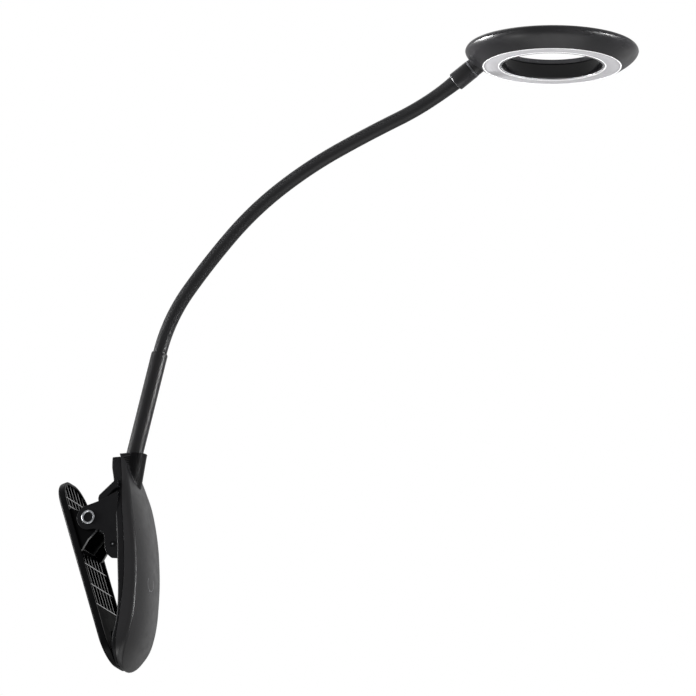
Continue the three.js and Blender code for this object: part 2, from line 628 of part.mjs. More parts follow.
// The torsion spring: coils about the pin, one leg on the rest pin and one on the lever's floor.
function torsionSpring() {
  const half = SPRING_HALF_LENGTH;
  const start = Math.atan2(REST_PIN[1] - PIN_Z + 1.5, REST_PIN[0] - PIN_X) + Math.PI / 2;
  const overRestPin = REST_PIN_RADIUS + SPRING_WIRE + SPRING_REST_GAP;
  const legEnd = at(REST_PIN[0] - 3.2, -half, REST_PIN[1] + overRestPin);
  const foot = onLever(SPRING_FOOT, half, trayFloor + SPRING_WIRE + GAP);
  const around = (t) => {
    const angle = start - t * (SPRING_TURNS * 2 * Math.PI + 1.2);
    const y = -half + 2 * half * t;
    return at(PIN_X + SPRING_COIL * Math.cos(angle), y, PIN_Z + SPRING_COIL * Math.sin(angle));
  };
  const coil = Array.from({ length: SPRING_TURNS * 8 + 1 }, (_, k) => around(k / (SPRING_TURNS * 8)));
  const points = [
    legEnd, legEnd.clone().lerp(coil[0], 0.6), ...coil, coil.at(-1).clone().lerp(foot, 0.45), foot,
  ];
  return wire(points, SPRING_WIRE, 70, 6);
}

// ---- neck -------------------------------------------------------------------------------------
// Each link is one arc. Its centre line is given by place and heading at a share t of its length.
function neckLinks() {
  const links = [];
  let place = neckPlace(THICK_SLEEVE_LENGTH);
  let heading = NECK_HEADING;
  for (const turn of LINK_TURNS) {
    const start = place.clone();
    const from = heading;
    const radius = LINK_LENGTH / radians(turn);
    const side = (angle) => at(Math.sin(radians(angle)), 0, -Math.cos(radians(angle)));
    const point = (t) =>
      start.clone().addScaledVector(side(from + turn * t).sub(side(from)), radius);
    links.push({ point, heading: (t) => from + turn * t });
    place = point(1);
    heading += turn;
  }
  return links;
}
const links = neckLinks();

// A ring of points about the centre line. The ends lean back on both sides of the hinge line.
function neckRing(link, t, radius, lean, pitch, sides) {
  const heading = link.heading(t);
  const along = headingVector(heading);
  const up = at(-Math.sin(radians(heading)), 0, Math.cos(radians(heading)));
  return Array.from({ length: sides }, (_, k) => {
    const angle = (k * 2 * Math.PI) / sides;
    const [y, rise] = [radius * Math.cos(angle), radius * Math.sin(angle)];
    const back = lean * Math.abs(pitch ? rise : y);
    return link.point(t).addScaledVector(up, rise).addScaledVector(along, back).add(at(0, y, 0));
  });
}

const hingePitches = (number) => number % 2 === 1; // odd hinges nod, even hinges sway
const END_LEAN = Math.tan(radians(BEND_LIMIT / 2 + 0.6)); // a little over half the bend on each side

function neckTube(number, outer, inner, sides, steps, flare = 0) {
  const link = links[number - 1];
  const last = number === LINK_TURNS.length;
  const from = GAP / 2 / LINK_LENGTH;
  const to = 1 - from;
  const rings = (radius) =>
    Array.from({ length: steps + 1 }, (_, k) => {
      const t = from + ((to - from) * k) / steps;
      const wide = radius + (last && radius === outer ? flare * Math.max(0, t * 4 - 3) : 0);
      const lean = k === 0 ? END_LEAN : k === steps && !last ? -END_LEAN : 0;
      const pitch = hingePitches(k === 0 ? number : number + 1);
      return neckRing(link, t, wide, lean, pitch, sides);
    });
  if (!inner) return loft(rings(outer));
  return loft([...rings(outer), ...rings(inner).reverse()], true);
}

function straightTube(outer, inner, low, high, sides, lean) {
  const ring = (radius, along, slope) =>
    Array.from({ length: sides }, (_, k) => {
      const angle = (k * 2 * Math.PI) / sides;
      const [y, rise] = [radius * Math.cos(angle), radius * Math.sin(angle)];
      const place = neckPlace(along - slope * Math.abs(rise));
      return place.add(at(-neckAxis.z * rise, y, neckAxis.x * rise));
    });
  const outside = [ring(outer, low, 0), ring(outer, high, lean)];
  if (!inner) return loft(outside);
  return loft([...outside, ring(inner, high, lean), ring(inner, low, 0)], true);
}

// ---- head -------------------------------------------------------------------------------------
const neckEnd = links.at(-1).point(1);
const headX = neckEnd.x + RIM_AHEAD + HEAD_RADIUS;
const headZ = neckEnd.z + UNDERSIDE_ABOVE;
const underHead = (geometry) => geometry.clone().translate(headX, 0, headZ);
const collarAxis = headingVector(links.at(-1).heading(1));
const onCollar = (geometry) => aimed(geometry, neckEnd, collarAxis);

function bevelOutline(shrink, steps = 4) {
  const rise = BELT_HEIGHT;
  const run = HEAD_RADIUS - LIGHT_OUTER;
  return Array.from({ length: steps + 1 }, (_, k) => {
    const t = k / steps;
    const swell = FLANK_SWELL * Math.sin((t * Math.PI) / 2) + (1 - FLANK_SWELL) * t;
    return [LIGHT_OUTER + run * swell - shrink, rise * t];
  });
}

function headEnvelope(grow) {
  const top = arc(HEAD_RADIUS - TOP_ROUND, HEAD_HEIGHT - TOP_ROUND, TOP_ROUND, 0, 90, 4);
  const side = bevelOutline(-grow);
  const crownPoints = top.slice(1).map(([r, h]) => [r + grow, h + grow]);
  return turned(
    [[0, -grow], [side[0][0], -grow], ...side, ...crownPoints, [0, HEAD_HEIGHT + grow]], HEAD_SEGMENTS,
  );
}

function headHousing() {
  const top = arc(HEAD_RADIUS - TOP_ROUND, HEAD_HEIGHT - TOP_ROUND, TOP_ROUND, 0, 90, 4).slice(1);
  const inside = bevelOutline(HEAD_WALL, 2).reverse();
  inside[inside.length - 1] = [LIGHT_OUTER - RING_EDGE, 0];
  inside.splice(-1, 0, [LIGHT_OUTER - RING_EDGE, 1.9], [LIGHT_OUTER - RING_EDGE + 0.6, 2.4]);
  const roof = HEAD_HEIGHT - HEAD_WALL;
  const lip = BEZEL_HEIGHT + GAP;
  const ring = turned(
    closed([
      ...bevelOutline(0), ...top, [HOLE_TOP + 0.9, HEAD_HEIGHT], [HOLE_TOP, HEAD_HEIGHT - 0.9],
      [HOLE_TOP, lip], [HOLE_TOP + BEZEL_WALL + 1, lip], [HOLE_TOP + BEZEL_WALL + 1, roof],
      [HEAD_RADIUS - HEAD_WALL - 2, roof], ...inside,
    ]),
    HEAD_SEGMENTS,
  );
  const foot = BOARD_HEIGHT + BOARD_THICK + GAP;
  const posts = screwPlaces().map(([x, y]) => rod(HEAD_POST, foot, roof + 0.4, 12).translate(x, y, 0));
  const pilots = screwPlaces().map(([x, y]) => rod(HEAD_THREAD + GAP, 2, roof - 0.4, 10).translate(x, y, 0));
  const throat = aimed(rod(SPIGOT_RADIUS + GAP, 0, COLLAR_LENGTH + 4, 20), neckEnd, collarAxis)
    .translate(-headX, 0, -headZ);
  return underHead(cut(joined(ring, ...posts), ...pilots, throat));
}

const SCREW_CIRCLE = (LIGHT_OUTER + HOLE_BOTTOM) / 2;
const screwPlaces = () =>
  Array.from({ length: HEAD_SCREWS }, (_, k) => {
    const angle = radians(60 + (360 * k) / HEAD_SCREWS);
    return [SCREW_CIRCLE * Math.cos(angle), SCREW_CIRCLE * Math.sin(angle)];
  });

function innerBezel() {
  return underHead(
    turned(
      closed([
        [HOLE_BOTTOM, 0], [HOLE_BOTTOM + BEZEL_LIP + 0.4, 0], [HOLE_BOTTOM + BEZEL_LIP + 0.4, 1],
        [HOLE_BOTTOM + BEZEL_WALL, 1.6], [HOLE_TOP + BEZEL_WALL + 0.4, BEZEL_HEIGHT],
        [HOLE_TOP + 0.4, BEZEL_HEIGHT],
      ]),
      RING_SEGMENTS,
    ),
  );
}

function diffuser() {
  const inner = HOLE_BOTTOM + BEZEL_LIP + 0.4 + GAP;
  const outer = LIGHT_OUTER - RING_EDGE - GAP;
  return underHead(
    turned(
      closed([
        [inner, 0.1], [outer, 0.1], [outer, 1.6], [outer - 0.6, 2.4], [inner + 1.2, 2.4], [inner + 0.6, 1.1],
        [inner, 0.9],
      ]),
      RING_SEGMENTS,
    ),
  );
}

function ledBoard() {
  const [low, high] = [BOARD_HEIGHT, BOARD_HEIGHT + BOARD_THICK];
  const ring = tube(LIGHT_OUTER + 0.8, HOLE_BOTTOM + BEZEL_WALL + 0.4, low, high, 40);
  const packages = Array.from({ length: LED_COUNT }, (_, k) => {
    const chip = new THREE.BoxGeometry(...LED_SIZE).translate(SCREW_CIRCLE, 0, low - 0.3);
    return chip.rotateZ(radians(((k + 0.5) * 360) / LED_COUNT));
  });
  const holes = screwPlaces().map(([x, y]) => rod(1 + GAP, low - 1, high + 1, 10).translate(x, y, 0));
  return underHead(cut(joined(ring, ...packages), ...holes));
}

function headCollar() {
  const stub = turned(
    closed([
      [FERRULE_RADIUS + GAP, 0.4], [COLLAR_RADIUS - 0.5, 0.4], [COLLAR_RADIUS, 0.9],
      [COLLAR_RADIUS, COLLAR_LENGTH], [WIRE_BORE, COLLAR_LENGTH], [WIRE_BORE, 8],
      [FERRULE_RADIUS + GAP, 8],
    ]),
    20,
  );
  const spigot = tube(SPIGOT_RADIUS, WIRE_BORE, COLLAR_LENGTH - 6, COLLAR_LENGTH + 2.6, 16);
  const body = cut(onCollar(stub), underHead(headEnvelope(GAP)));
  return joined(body, onCollar(spigot));
}

// ---- everything put together --------------------------------------------------------------------
function buildClip() {
  piece("clip_front_shell", frontShell(), SATIN_BLACK);
  piece("clip_rear_shell", rearShell(), SATIN_BLACK);
  piece("fixed_jaw_pad", jawPad(0), RUBBER);
  piece("touch_mark", markLoop(0, markFace - 0.5, markFace), MARK_GREY);
  const electrode = alongX(rod(ELECTRODE_RADIUS, 0, ELECTRODE_THICK, 20), 0, MARK_Z);
  const behindWall = markFace - FRONT_WALL - ELECTRODE_SET_BACK;
  piece("touch_electrode", electrode.translate(behindWall, 0, 0), COPPER);
  const board = box(...BOARD.x, -BOARD.y, BOARD.y, ...BOARD.z);
  const chips = BOARD_CHIPS.map(([proud, lowY, highY, lowZ, highZ]) =>
    box(BOARD.x[1] - GAP, BOARD.x[1] + proud, lowY, highY, lowZ, highZ),
  );
  piece("control_board", joined(board, ...chips), BOARD_GREEN);
  const [socketLow, socketHigh] = [SOCKET.z[0] + SOCKET_SHEET, SOCKET.z[1] - SOCKET_SHEET];
  const can = box(...SOCKET.x, ...SOCKET.y, ...SOCKET.z);
  const mouth = box(
    SOCKET.x[0] + SOCKET_SHEET, SOCKET.x[1] - SOCKET_SHEET, SOCKET.y[0] + 1, OUTSIDE, socketLow, socketHigh,
  );
  const tongue = box(-1.85, -1.25, SOCKET.y[0] + 0.5, SOCKET.y[1] - 1, socketLow + 0.8, socketHigh - 0.8);
  piece("charging_socket", joined(cut(can, mouth), tongue), STEEL);
  piece("battery_cell", box(...CELL.x, -CELL.y, CELL.y, ...CELL.z), FOIL);
  piece("battery_foam", box(...CELL_FOAM.x, -CELL_FOAM.y, CELL_FOAM.y, ...CELL_FOAM.z), FOAM);
  HOUSING_SCREWS.forEach(([y, z, seat, end], k) => {
    const under = seat - GAP;
    const head = rod(SCREW_HEAD, under - SCREW_HEAD_THICK, under, 12);
    const slotEnd = SCREW_HEAD + 0.5;
    const slot = box(-0.3, 0.3, -slotEnd, slotEnd, under - SCREW_HEAD_THICK - 1, under - 0.6);
    const screw = cut(joined(head, rod(SCREW_RADIUS, under - 0.4, end, 8)), slot);
    piece(`housing_screw_${k + 1}`, alongX(screw, y, z), STEEL);
  });
  const leads = [["battery_lead_red", 5, RED_WIRE], ["battery_lead_black", 8, BLACK_WIRE]];
  for (const [name, y, finish] of leads) {
    const start = CELL.z[1] + 0.4;
    const lead = [at(2, y, start), at(3, y, start + 1.6), at(2.9, y, start + 4.1), at(2.4, y, start + 6.6)];
    piece(name, wire(lead, 0.5, 6), finish);
  }
}

function buildHinge() {
  const seat = -EAR_OUTSIDE - GAP;
  const [low, high] = [seat - PIN_HEAD_THICK, EAR_OUTSIDE + 1.2];
  const pin = turned(
    closed([
      [PIN_BORE, low], [PIN_HEAD_RADIUS, low], [PIN_HEAD_RADIUS, seat], [PIN_RADIUS, seat],
      [PIN_RADIUS, high], [PIN_BORE, high],
    ]),
    24,
  );
  piece("pivot_pin", alongY(pin, PIN_X, PIN_Z), STEEL);
  const clipRing = tube(PIN_RADIUS + GAP + 1.3, PIN_RADIUS + GAP, EAR_OUTSIDE + GAP, EAR_OUTSIDE + 1, 24);
  piece("pin_retaining_ring", alongY(clipRing, PIN_X, PIN_Z), STEEL);
  const restPin = rod(REST_PIN_RADIUS, 0.5 - EAR_OUTSIDE, EAR_OUTSIDE - 0.5, 12);
  piece("spring_rest_pin", alongY(restPin, ...REST_PIN), STEEL);
  piece("torsion_spring", torsionSpring(), STEEL);
  piece("clamp_lever", leverBody(), SATIN_BLACK);
  piece("moving_jaw_pad", leverPad(), RUBBER);
}

function buildNeck() {
  const [bore, rootEnd] = [CORE_RADIUS + GAP, THICK_SLEEVE_LENGTH - GAP / 2];
  piece("neck_root_ferrule", onNeck(tube(FERRULE_RADIUS, bore, ferruleEnd, ferruleTop, 20)), BRASS);
  piece("neck_set_screw", setScrew(0), STEEL);
  const sleeve = straightTube(THICK_SLEEVE_RADIUS, bore, -THICK_SLEEVE_SUNK, rootEnd, 20, END_LEAN);
  piece("neck_sleeve_root", sleeve, SATIN_BLACK);
  const coreInside = CORE_RADIUS - CORE_WALL;
  const core = straightTube(CORE_RADIUS, coreInside, ferruleEnd + GAP, rootEnd, CORE_SIDES, END_LEAN);
  piece("neck_core_root", core, STEEL);
  const lead = straightTube(WIRE_RADIUS, 0, -BOSS_LENGTH - 2, rootEnd, 6, END_LEAN);
  piece("neck_wire_root", lead, COPPER);
  for (let n = 1; n <= LINK_TURNS.length; n += 1) {
    const skin = neckTube(n, SLEEVE_RADIUS, SLEEVE_RADIUS - SLEEVE_WALL, SLEEVE_SIDES, 5, SLEEVE_FLARE);
    piece(`neck_sleeve_${n}`, skin, SATIN_BLACK);
    piece(`neck_core_${n}`, neckTube(n, CORE_RADIUS, coreInside, CORE_SIDES, 4), STEEL);
    piece(`neck_wire_${n}`, neckTube(n, WIRE_RADIUS, 0, 6, 4), COPPER);
  }
}

function buildHead() {
  piece("head_ferrule", onCollar(tube(FERRULE_RADIUS, WIRE_BORE, 0.6, 7.6, 20)), BRASS);
  piece("head_collar", headCollar(), SATIN_BLACK);
  piece("head_housing", headHousing(), SATIN_BLACK);
  piece("head_inner_bezel", innerBezel(), GLOSS_BLACK);
  piece("light_diffuser", diffuser(), FROSTED);
  piece("led_board", ledBoard(), WHITE_BOARD);
  screwPlaces().forEach(([x, y], k) => {
    const low = BOARD_HEIGHT - GAP;
    const shank = rod(HEAD_THREAD, low - 0.2, HEAD_HEIGHT - HEAD_WALL - 0.9, 10);
    const screw = joined(rod(HEAD_SCREW, low - 1, low, 12), shank).translate(x, y, 0);
    piece(`led_board_screw_${k + 1}`, underHead(screw), STEEL);
  });
  const start = neckEnd.clone().addScaledVector(collarAxis, GAP);
  const lead = [0, 8, COLLAR_LENGTH + 2.5].map((along) => start.clone().addScaledVector(collarAxis, along));
  piece("head_lead", wire(lead, WIRE_RADIUS, 4), COPPER);
}

buildClip();
buildHinge();
buildNeck();
buildHead();
lamp.position.set(-JAW_FACE, 0, -JAW_ORIGIN); // the origin is in the face of the body's jaw pad

export default lamp;
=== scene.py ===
# %% [markdown]
# # A clip-on reading lamp
# The lamp is a sprung clamp, a bendable neck and a flat ring head that shines downwards.
# The lesson starts from a imported frame of plain solids, one for each piece, and gives every
# piece that shows its real shape and finish. Most new pieces are tied to the body that they move
# with, so the clamp still opens. The spring and the neck's lengths of sleeve are tied to no body.
#
# Adding bevels to the solids would be quick, but they have few faces and their curves would
# stay faceted. Each piece is therefore drawn again from the same sizes, with as many rings as
# its curves need. Pieces inside the lamp never show, so they keep their plain solids and only
# get a finish.
#
# All sizes are in millimetres on a drawing whose zero is the middle of the clip. One function,
# `at`, turns a place on the drawing into a place in the frame.

# %% The frame and the lamp's main sizes
import bpy
import bmesh
import math
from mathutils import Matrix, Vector


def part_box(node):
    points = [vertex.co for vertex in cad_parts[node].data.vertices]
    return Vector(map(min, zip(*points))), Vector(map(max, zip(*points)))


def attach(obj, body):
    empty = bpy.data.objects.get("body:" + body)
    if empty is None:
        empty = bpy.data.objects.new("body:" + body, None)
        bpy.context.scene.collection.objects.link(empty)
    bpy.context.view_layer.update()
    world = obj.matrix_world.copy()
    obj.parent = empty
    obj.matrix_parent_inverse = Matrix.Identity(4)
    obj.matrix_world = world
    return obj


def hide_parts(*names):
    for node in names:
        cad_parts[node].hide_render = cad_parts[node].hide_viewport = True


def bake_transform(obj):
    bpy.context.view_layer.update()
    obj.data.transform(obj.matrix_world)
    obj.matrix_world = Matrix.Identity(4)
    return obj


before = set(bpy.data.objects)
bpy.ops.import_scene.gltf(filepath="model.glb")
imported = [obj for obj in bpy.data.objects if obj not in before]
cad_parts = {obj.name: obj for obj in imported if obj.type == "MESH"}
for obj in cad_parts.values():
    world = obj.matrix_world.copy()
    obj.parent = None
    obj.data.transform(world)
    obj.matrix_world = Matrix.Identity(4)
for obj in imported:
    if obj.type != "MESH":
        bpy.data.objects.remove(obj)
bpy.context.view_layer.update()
scene = bpy.context.scene

MM = 0.001
JAW_FACE = -8.8  # how far forward the face of the body's jaw pad is
SHIFT = Vector((-JAW_FACE, 0, 44.5))  # the frame's origin is in the middle of that face
HALF_WIDTH = 19  # of the clip
BOTTOM, TOP = -60.5, 59.3  # of the clip
BOTTOM_CORNER = 17  # radius of the foot, seen from the front
SEAM_GAP = 0.3
PIN = (-21.2, 22.3)  # forward and up
LEVER_TILT = 16.3  # degrees from upright, with the jaws shut
NECK_BASE = (-1.8, 59.4)  # forward and up
NECK_HEADING = 75.2  # degrees above level
NECK_TURNS = (-23.6, -5.7, -12.6, -9.2, -3.2, 13.5)  # degrees that each link bends by
LINK = 37.55  # length of one link of the neck
THICK_LENGTH = 57.7  # of the thick sleeve at the neck's root
HEAD = (240, 253.9)  # forward and up, in the middle of the light ring's face


def at(x, y, z):
    """A place on the drawing, in metres in the frame."""
    return (Vector((x, y, z)) + SHIFT) * MM


def drawn(place):
    """A place in the frame, back on the drawing."""
    return place / MM - SHIFT


# %% [markdown]
# ## Helpers for shapes
# Almost everything moulded can be made from four moves. A bevel then softens the edges as a
# mould does, which is what catches the light on a real piece.
#
# - `through` suits a shell whose section changes slowly from end to end, such as the clip.
# - `turned` suits what is round about a line: the head, the pin, the collar.
# - `plate` suits ribs, ears and lugs, which are a flat shape and a depth.
# - `swept` suits the spring and the sleeve. It carries one `up` direction along the path and
#   corrects it a little at each step, so the rod never twists.
#
# A subdivision surface was the other choice for the shells. It gives rounder forms from fewer
# points, but it pulls the surface away from the drawing.


# %% Shape helpers
def tidy(name, bm, smooth=35):
    """Makes an object of the mesh. Edges sharper than `smooth` degrees stay crisp."""
    bmesh.ops.remove_doubles(bm, verts=bm.verts, dist=1e-7)
    bmesh.ops.recalc_face_normals(bm, faces=bm.faces)
    mesh = bpy.data.meshes.new(name)
    bm.to_mesh(mesh)
    bm.free()
    piece = bpy.data.objects.new(name, mesh)
    scene.collection.objects.link(piece)
    mesh.polygons.foreach_set("use_smooth", [True] * len(mesh.polygons))
    mesh.set_sharp_from_angle(angle=math.radians(smooth))
    return piece


def skin(bm, rings, looped=False, capped=True):
    """Faces through rings that all have the same number of points."""
    rows = [[bm.verts.new(p) for p in ring] for ring in rings]
    count = len(rows[0])
    pairs = list(zip(rows, rows[1:]))
    if looped:
        pairs.append((rows[-1], rows[0]))
    for low, high in pairs:
        for k in range(count):
            n = (k + 1) % count
            bm.faces.new((low[k], low[n], high[n], high[k]))
    if capped and not looped:
        bm.faces.new(rows[0])
        bm.faces.new(rows[-1])
    return bm


def through(name, rings, looped=False, capped=True, smooth=35):
    """A piece with its skin through the rings."""
    return tidy(name, skin(bmesh.new(), rings, looped, capped), smooth)


def turned_rings(outline, steps, place=None):
    """Rings round +Z for a closed outline of (radius, height) pairs, in millimetres."""
    rings = []
    for k in range(steps):
        a = 2 * math.pi * k / steps
        ring = [Vector((r * math.cos(a), r * math.sin(a), h)) for r, h in outline]
        rings.append([place(p) if place else p for p in ring])
    return rings


def turned(name, outline, steps=96, place=None, smooth=35):
    """A piece turned on a lathe. place says where a point of the upright piece goes."""
    return through(name, turned_rings(outline, steps, place), looped=True, smooth=smooth)


def bow(cx, cy, radius, start, end, steps):
    """Points along an arc, the angles in degrees."""
    angles = [math.radians(start + (end - start) * k / steps) for k in range(steps + 1)]
    return [(cx + radius * math.cos(a), cy + radius * math.sin(a)) for a in angles]


def plate(bm, outline, low, high, place):
    """A flat outline given a thickness. place(a, b, t) says where a point goes."""
    bottom = [bm.verts.new(place(a, b, low)) for a, b in outline]
    top = [bm.verts.new(place(a, b, high)) for a, b in outline]
    bm.faces.new(bottom)
    bm.faces.new(top)
    for k in range(len(outline)):
        n = (k + 1) % len(outline)
        bm.faces.new((bottom[k], bottom[n], top[n], top[k]))


def soften(piece, width_mm, segments=3, angle=40):
    """Rounds the edges that turn by more than the angle."""
    bevel = piece.modifiers.new("soft edges", "BEVEL")
    bevel.width = width_mm * MM
    bevel.segments = segments
    bevel.limit_method = "ANGLE"
    bevel.angle_limit = math.radians(angle)
    bevel.use_clamp_overlap = True
    bevel.harden_normals = True
    return piece


def swept(name, points, radius, sides=16, capped=True):
    """A round rod or sleeve along a run of points. radius is one number or one for each point."""
    radii = radius if isinstance(radius, (list, tuple)) else [radius] * len(points)
    rings = []
    up = Vector((0, 1, 0))
    for k, p in enumerate(points):
        ahead = points[min(k + 1, len(points) - 1)] - points[max(k - 1, 0)]
        ahead.normalize()
        up = (up - ahead * up.dot(ahead)).normalized()
        side = ahead.cross(up)
        turn = [2 * math.pi * s / sides for s in range(sides)]
        rings.append([p + (up * math.cos(a) + side * math.sin(a)) * radii[k] for a in turn])
    piece = through(name, rings, capped=capped, smooth=60)
    first = piece.data.polygons[0]
    if first.normal.dot(first.center - points[0]) < 0:
        piece.data.flip_normals()
    return piece


def joined(name, *pieces):
    """Makes several meshes one object, keeping their materials."""
    bpy.ops.object.select_all(action="DESELECT")
    for piece in pieces:
        piece.select_set(True)
    bpy.context.view_layer.objects.active = pieces[0]
    bpy.ops.object.join()
    pieces[0].name = name
    return pieces[0]


def curve_through(pairs):
    """A smooth function through (z, value) pairs."""
    slopes = []
    for i in range(len(pairs)):
        (z0, v0), (z1, v1) = pairs[max(i - 1, 0)], pairs[min(i + 1, len(pairs) - 1)]
        slopes.append((v1 - v0) / (z1 - z0))

    def value(z):
        i = 0
        while i < len(pairs) - 2 and z > pairs[i + 1][0]:
            i += 1
        span = pairs[i + 1][0] - pairs[i][0]
        t = min(max((z - pairs[i][0]) / span, 0), 1)
        rise = t * t * (3 - 2 * t)
        ease = t * (1 - t) * span
        ends = pairs[i][1] * (1 - rise) + pairs[i + 1][1] * rise
        return ends + ease * ((1 - t) * slopes[i] - t * slopes[i + 1])

    return value


print("shape helpers ready")

# %% [markdown]
# ## Finishes
# A black lamp is never plain black. Moulded ABS has a fine spark-eroded grain that scatters the
# highlight, a silicone sleeve is smoother but softer, and the light ring is a milky acrylic.
# Each finish below is mixed from noise whose scale is a real size on the object, so it stays
# right from close up.
#
# One recipe, `moulded`, covers every opaque finish, because they differ in numbers and not in
# kind. It has three layers:
#
# 1. Slow patches, about as wide as a thumb, move the colour between two close tones, because
#    moulded plastic is never one even colour.
# 2. Smaller patches move the gloss up and down, as handling does.
# 3. A fine grain tilts the surface, a few thousandths of a millimetre deep.
#
# The index of refraction is the real one: 1.5 for ABS, 1.42 for silicone, 1.49 for acrylic.


# %% Finish helpers
def linear(code):
    """Scene colour from an sRGB hex code such as '1d1d1f'."""
    parts = [int(code[i:i + 2], 16) / 255 for i in (0, 2, 4)]
    return [p / 12.92 if p <= 0.04045 else ((p + 0.055) / 1.055) ** 2.4 for p in parts] + [1]


def node(tree, kind, inputs=None, **settings):
    """Adds one node. Inputs are numbers, colours or the output of another node."""
    made = tree.nodes.new(kind)
    for key, value in settings.items():
        setattr(made, key, value)
    for key, value in (inputs or {}).items():
        if isinstance(value, bpy.types.NodeSocket):
            tree.links.new(value, made.inputs[key])
        else:
            made.inputs[key].default_value = value
    return made


def noise(tree, size_mm, detail=3, rough=0.5):
    """Noise whose lumps are about size_mm across on the object."""
    place = tree.nodes.get("place") or node(tree, "ShaderNodeTexCoord", name="place")
    return node(tree, "ShaderNodeTexNoise", {
        "Vector": place.outputs["Object"], "Scale": 1000 / size_mm, "Detail": detail,
        "Roughness": rough,
    }).outputs["Fac"]


def spread(tree, value, low, high):
    """Stretches the middle of the noise over a range of values."""
    return node(tree, "ShaderNodeMapRange", {
        "Value": value, "From Min": 0.3, "From Max": 0.7, "To Min": low, "To Max": high,
    }).outputs["Result"]


def finish_named(name):
    """An empty material and its node tree."""
    found = bpy.data.materials.new(name)
    found.use_nodes = True
    found.node_tree.nodes.clear()
    return found, found.node_tree


def close(tree, shader):
    """Sends the shader to the material's surface."""
    out = node(tree, "ShaderNodeOutputMaterial")
    tree.links.new(shader, out.inputs["Surface"])


def two_tones(tree, value, low, high):
    """A colour that goes from one tone to the other with the noise."""
    return node(tree, "ShaderNodeMix", {
        "Factor": spread(tree, value, 0, 1), "A": linear(low), "B": linear(high),
    }, data_type="RGBA").outputs["Result"]


def grain(tree, size_mm, depth_mm):
    """Tilts the surface with fine noise of a real size and depth."""
    return node(tree, "ShaderNodeBump", {
        "Height": noise(tree, size_mm, 2), "Strength": 1.0, "Distance": depth_mm * MM,
    }).outputs["Normal"]


def moulded(name, dark, light, rough, grain_mm, grain_depth_mm, ior=1.5, metallic=0.0,
            patch_mm=18, unevenness=0.06, coat=0.0, specular=0.5):
    """A moulded or plated finish: slow colour patches, uneven gloss and a fine grain."""
    material, tree = finish_named(name)
    tint = two_tones(tree, noise(tree, patch_mm, 4), dark, light)
    patches_of_gloss = noise(tree, patch_mm * 0.3, 5, 0.6)
    gloss = spread(tree, patches_of_gloss, rough - unevenness, rough + unevenness)
    body = node(tree, "ShaderNodeBsdfPrincipled", {
        "Base Color": tint, "Roughness": gloss, "Metallic": metallic, "IOR": ior,
        "Normal": grain(tree, grain_mm, grain_depth_mm), "Coat Weight": coat,
        "Coat Roughness": 0.12, "Specular IOR Level": specular,
    })
    close(tree, body.outputs["BSDF"])
    return material


print("finish helpers ready")

# %% The finishes of the lamp
# name, two close tones, roughness, size of the grain and its depth in millimetres
satin_abs = moulded("satin black ABS", "1a1a1c", "201f22", 0.33, 0.35, 0.003)
# A darker tone with weak shine stands for shade: painted shade on the boss.
boss_painted_shade = moulded("boss ABS in painted shade", "060608", "09090b", 0.46, 0.35, 0.003, specular=0.12)
# The rear shell and ears are darker, with weak shine, as painted shade.
rear_painted_shade = moulded("matt ABS in painted shade", "08080b", "0c0c10", 0.42, 0.35, 0.006, specular=0.2)
# The lever's black is darkened, with weak shine, as painted shade.
lever_painted_shade = moulded("darkest ABS in painted shade", "040406", "070709", 0.34, 0.35, 0.004, specular=0.1)
# Lighter greys on rib tops and lug edges are painted highlights.
rib_top_painted_highlight = moulded("rib tops with painted highlight", "505054", "5e5e62", 0.25, 0.6, 0.002, coat=1.0)
cross_rib_painted_highlight = moulded("cross ribs with painted highlight", "8a8a8e", "98989c", 0.22, 0.6, 0.002, coat=1.0)
lug_edge_painted_highlight = moulded("lug edges with painted highlight", "5a5a5e", "6a6a6e", 0.24, 0.6, 0.002, coat=1.0)
gloss_abs = moulded("polished black ABS", "0d0d0f", "111113", 0.16, 1.2, 0.001, unevenness=0.03)
sleeve_rubber = moulded("black silicone sleeve", "161618", "1a1a1c", 0.42, 0.35, 0.0012,
                        ior=1.42, patch_mm=30)
pad_rubber = moulded("soft black pad", "040406", "070709", 0.6, 0.2, 0.01,
                     ior=1.42, specular=0.08)
bright_steel = moulded("nickel plated steel", "b4b6ba", "d0d2d6", 0.22, 0.15, 0.001,
                       ior=2.5, metallic=1.0, patch_mm=3)
spring_steel = moulded("spring steel", "5a5b5e", "707175", 0.25, 0.2, 0.002, ior=2.5,
                       metallic=1.0, patch_mm=4)
core_steel = moulded("wound steel strip", "7c7e82", "96989c", 0.35, 0.3, 0.01, ior=2.5,
                     metallic=1.0, patch_mm=5)
brass = moulded("turned brass", "a78a4a", "c0a25c", 0.28, 0.2, 0.002, ior=1.6, metallic=1.0)
copper = moulded("bare copper", "a8684a", "c07c58", 0.35, 0.2, 0.002, ior=1.6, metallic=1.0)
mark_ink = moulded("light grey ink", "77777b", "86868a", 0.45, 0.1, 0.001)
board_green = moulded("green board laminate", "1c4f34", "266341", 0.35, 0.4, 0.003, coat=0.4)
board_white = moulded("white board laminate", "d8d8d2", "ecece8", 0.35, 0.4, 0.002, coat=0.3)
cell_foil = moulded("foil pouch", "7c848e", "99a1ab", 0.3, 2.5, 0.05, metallic=0.7)
foam = moulded("closed foam", "202022", "2c2c2e", 0.95, 0.4, 0.08)
red_sleeve = moulded("red insulation", "8e1d1d", "a02424", 0.4, 0.2, 0.003)
print("finishes:", len(bpy.data.materials))

# %% [markdown]
# ### The light ring
# Opal acrylic lets light in and scatters it, so a ring that is switched off looks pale grey
# and a little deep, not like paint. A touch of subsurface scattering does this. Its radius is
# about a millimetre, which is how far light creeps through a sheet of this kind.
#
# The cut edge of the sheet looks brighter, because light piped along inside leaves there.
# Tracing that would need many samples, so the edge gets a faint glow instead, which is a painted
# highlight.


